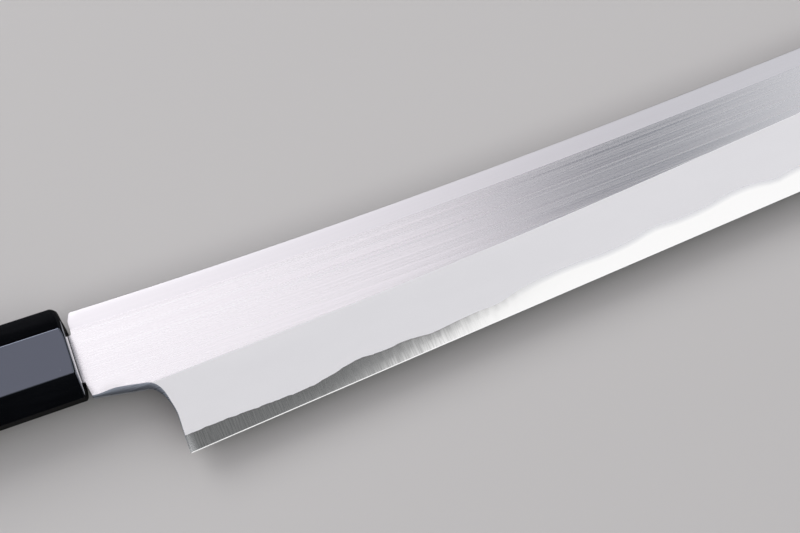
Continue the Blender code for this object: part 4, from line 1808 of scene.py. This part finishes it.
@dataclass
class Studio:
    """Plain pale floor, soft light and the camera."""

    zero: Vector
    blade_turn: float
    turn: float = math.radians(18.69)
    tilt: float = math.radians(8.0)
    distance: float = 508.0
    lens: float = 100.0
    sensor_width: float = 36.0
    clip_start: float = 0.01
    aim: Span = (73.61, 19.79)
    floor_size: float = 3.0
    floor_squares: int = 8
    floor_solid: float = 0.27
    floor_end: float = 0.62
    floor_colour: Colour = (0.62, 0.61, 0.60)
    floor_mirror_shade: Colour = (0.028, 0.027, 0.026)
    floor_rough: float = 0.9
    floor_gloss: float = 0.2
    backdrop: Colour = (0.56, 0.555, 0.55)
    lamp_power: float = 6.2
    lamp_size: float = 0.9
    lamp_place: tuple[float, float, float] = (-750.0, 800.0, 1000.0)
    window: Colour = (1.065, 1.02, 1.065)
    gap: Colour = (0.05, 0.065, 0.095)
    gap_span: Span = (0.08, 0.2)
    front: Colour = (0.72, 0.73, 0.76)
    front_span: Span = (0.186, 0.297)
    near_side: Colour = (0.228, 0.234, 0.236)
    near_span: Span = (-0.11, -0.175)
    near_window: Colour = (1.33, 1.33, 1.33)
    near_window_span: Span = (0.286, 0.341)
    near_window_lean: float = 0.8
    near_end: Span = (-0.6, -1.0)
    wall: Colour = (0.009, 0.0095, 0.0105)
    wall_span: Span = (0.5, 0.22)
    wall_foot: float = 0.05

    def sideways(self) -> Vector:
        """The picture's direction to the right, in the frame."""
        return Vector((math.cos(self.turn), -math.sin(self.turn), 0.0))

    def upwards(self) -> Vector:
        """The picture's upright, laid on the floor."""
        return Vector((math.sin(self.turn), math.cos(self.turn), 0.0))

    def place(self, right: float, up: float, height: float) -> Vector:
        """Turn a place in the picture's axes into metres in the frame."""
        flat = self.sideways() * (right + self.aim[0]) + self.upwards() * (up + self.aim[1])
        return (flat + Vector((0.0, 0.0, height)) + self.zero) * MM

    def camera(self) -> None:
        """Set the camera up over the knife."""
        data = bpy.data.cameras.new("camera")
        data.lens = self.lens
        data.sensor_width = self.sensor_width
        data.clip_start = self.clip_start
        camera = add_object("camera", data)
        eye = self.place(0.0, -self.distance * math.sin(self.tilt), self.distance * math.cos(self.tilt))
        look = (self.place(0.0, 0.0, 0.0) - eye).normalized()
        side = self.sideways()
        matrix = Matrix((side, side.cross(look), -look)).transposed().to_4x4()
        matrix.translation = eye
        camera.matrix_world = matrix
        bpy.context.scene.camera = camera

    def floor(self) -> None:
        """Lay the floor. It fades out away from the knife, is clear when seen from below, and shows a
        painted shade where glossy rays see it.
        """
        bm = bmesh.new()
        bmesh.ops.create_grid(bm, x_segments=self.floor_squares, y_segments=self.floor_squares,
                              size=self.floor_size / 2)
        mesh = bpy.data.meshes.new("floor")
        bm.to_mesh(mesh)
        bm.free()
        floor = add_object("floor", mesh)
        bench = Bench("floor")
        # Glossy rays see a darker board: painted shade in the floor's reflection
        mirrored = bench.node("ShaderNodeLightPath").outputs["Is Glossy Ray"]
        colour = bench.mix(mirrored, paint(self.floor_colour), paint(self.floor_mirror_shade))
        bench.base(colour, self.floor_rough)
        far = bench.node("ShaderNodeVectorMath", {0: bench.place()}, operation="LENGTH").outputs["Value"]
        under = bench.node("ShaderNodeNewGeometry").outputs["Backfacing"]
        cover = bench.math("MULTIPLY", bench.ease(far, self.floor_end, self.floor_solid),
                           bench.math("SUBTRACT", 1.0, under))
        bench.fill({"Specular IOR Level": self.floor_gloss, "Alpha": cover})
        mesh.materials.append(bench.material)

    def light(self) -> None:
        """Add the soft lamp that draws the knife's shadow."""
        data = bpy.data.lights.new("key", "AREA")
        data.shape = "DISK"
        data.size = self.lamp_size
        data.energy = self.lamp_power
        lamp = add_object("key", data)
        lamp.location = self.place(*self.lamp_place)
        aim = self.place(0.0, 0.0, 0.0) - lamp.location
        lamp.rotation_euler = aim.to_track_quat("-Z", "Y").to_euler()

    def dome(self) -> None:
        """Light the knife from overhead, within dark walls.

        Along the blade a wide window ends in a dark gap, and a paler front follows. The near
        side is dim, with a slanting window of its own. The camera sees an even backdrop.
        """
        world = bpy.data.worlds.new("studio")
        bpy.context.scene.world = world
        room = Nodes(world, "Background")
        toward = room.place("Generated")
        height = room.part(toward, 2)
        cosine, sine = math.cos(self.blade_turn), math.sin(self.blade_turn)
        over = room.math("MAXIMUM", height, self.wall_foot)
        along = self.overhead(room, toward, (cosine, sine, 0.0), over)
        across = self.overhead(room, toward, (-sine, cosine, 0.0), over)
        colour = room.tones(along, self.gap_span, self.window, self.gap)
        colour = room.mix(room.ease(along, *self.front_span), colour, paint(self.front))
        slid = room.math("MULTIPLY_ADD", across, -self.near_window_lean, along)
        near = room.tones(slid, self.near_window_span, self.near_side, self.near_window)
        near = room.mix(room.ease(across, *self.near_end), near, paint(self.near_side))
        colour = room.mix(room.ease(across, *self.near_span), colour, near)
        colour = room.mix(room.ease(height, *self.wall_span), colour, paint(self.wall))
        seen = room.node("ShaderNodeLightPath").outputs["Is Camera Ray"]
        room.fill({"Color": room.mix(seen, colour, paint(self.backdrop))})

    @staticmethod
    def overhead(room: Nodes, toward: Socket, axis: tuple[float, float, float], over: Socket) -> Socket:
        """Place along an axis where a direction meets the ceiling."""
        along = room.node("ShaderNodeVectorMath", {0: toward, 1: axis}, operation="DOT_PRODUCT")
        return room.math("DIVIDE", along.outputs["Value"], over)


def dress(piece: bpy.types.Object, finishes: Sequence[bpy.types.Material]) -> None:
    """Give a piece its finishes.

    Args:
        piece: The piece.
        finishes: The materials, in the order of its faces' numbers.
    """
    if piece.data.materials:
        piece.data.materials.clear()
    for finish in finishes:
        piece.data.materials.append(finish)


def seat(piece: bpy.types.Object, slot: str, *nodes: str) -> None:
    """Put a piece in the frame and report it.

    Args:
        piece: The piece.
        slot: Not used.
        nodes: The frame's nodes that it stands for.
    """
    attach(piece, BODY)
    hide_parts(*nodes)
    LOG.info("%s: %d faces, for %s", piece.name, len(piece.data.polygons), ", ".join(nodes))


def main() -> None:
    """Build and dress the knife, and set the studio up round it."""
    logging.basicConfig(level=logging.INFO, format="%(message)s")
    bpy.context.scene.view_settings.view_transform = "Standard"
    zero = handle_zero()
    blade = BladeDrawing()
    studio = Studio(zero, blade.edge_angle)
    studio.camera()
    studio.floor()
    studio.light()
    studio.dome()
    plan = BladePlan(blade)
    LOG.info("plan: %d points, %d triangles", len(plan.points), len(plan.triangles))
    maker = BladeMaker(plan, zero)
    finishes = [BLADE_FINISHES[skin].material() for skin in Skin]
    blade_pieces = ((maker.iron(), "iron", "blade_cladding"),
                    (maker.steel(), "steel", "edge_steel"))
    for piece, slot, node in blade_pieces:
        dress(piece, finishes)
        seat(piece, slot, node)
    handle = HandleMaker(HandleDrawing(), blade, zero)
    handle_pieces = ((handle.ferrule(), Horn(), "horn", "ferrule"),
                     (handle.grip(), EBONY, "ebony", "handle_body"),
                     (handle.seal(), Resin(), "resin", "tang_seal"))
    for piece, finish, slot, node in handle_pieces:
        dress(piece, [finish.material()])
        seat(piece, slot, node)
    dress(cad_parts["tenon_core"], [MAGNOLIA.material()])
    LOG.info("tenon_core: the frame's own solid, in magnolia")


if __name__ == "__main__":
    main()
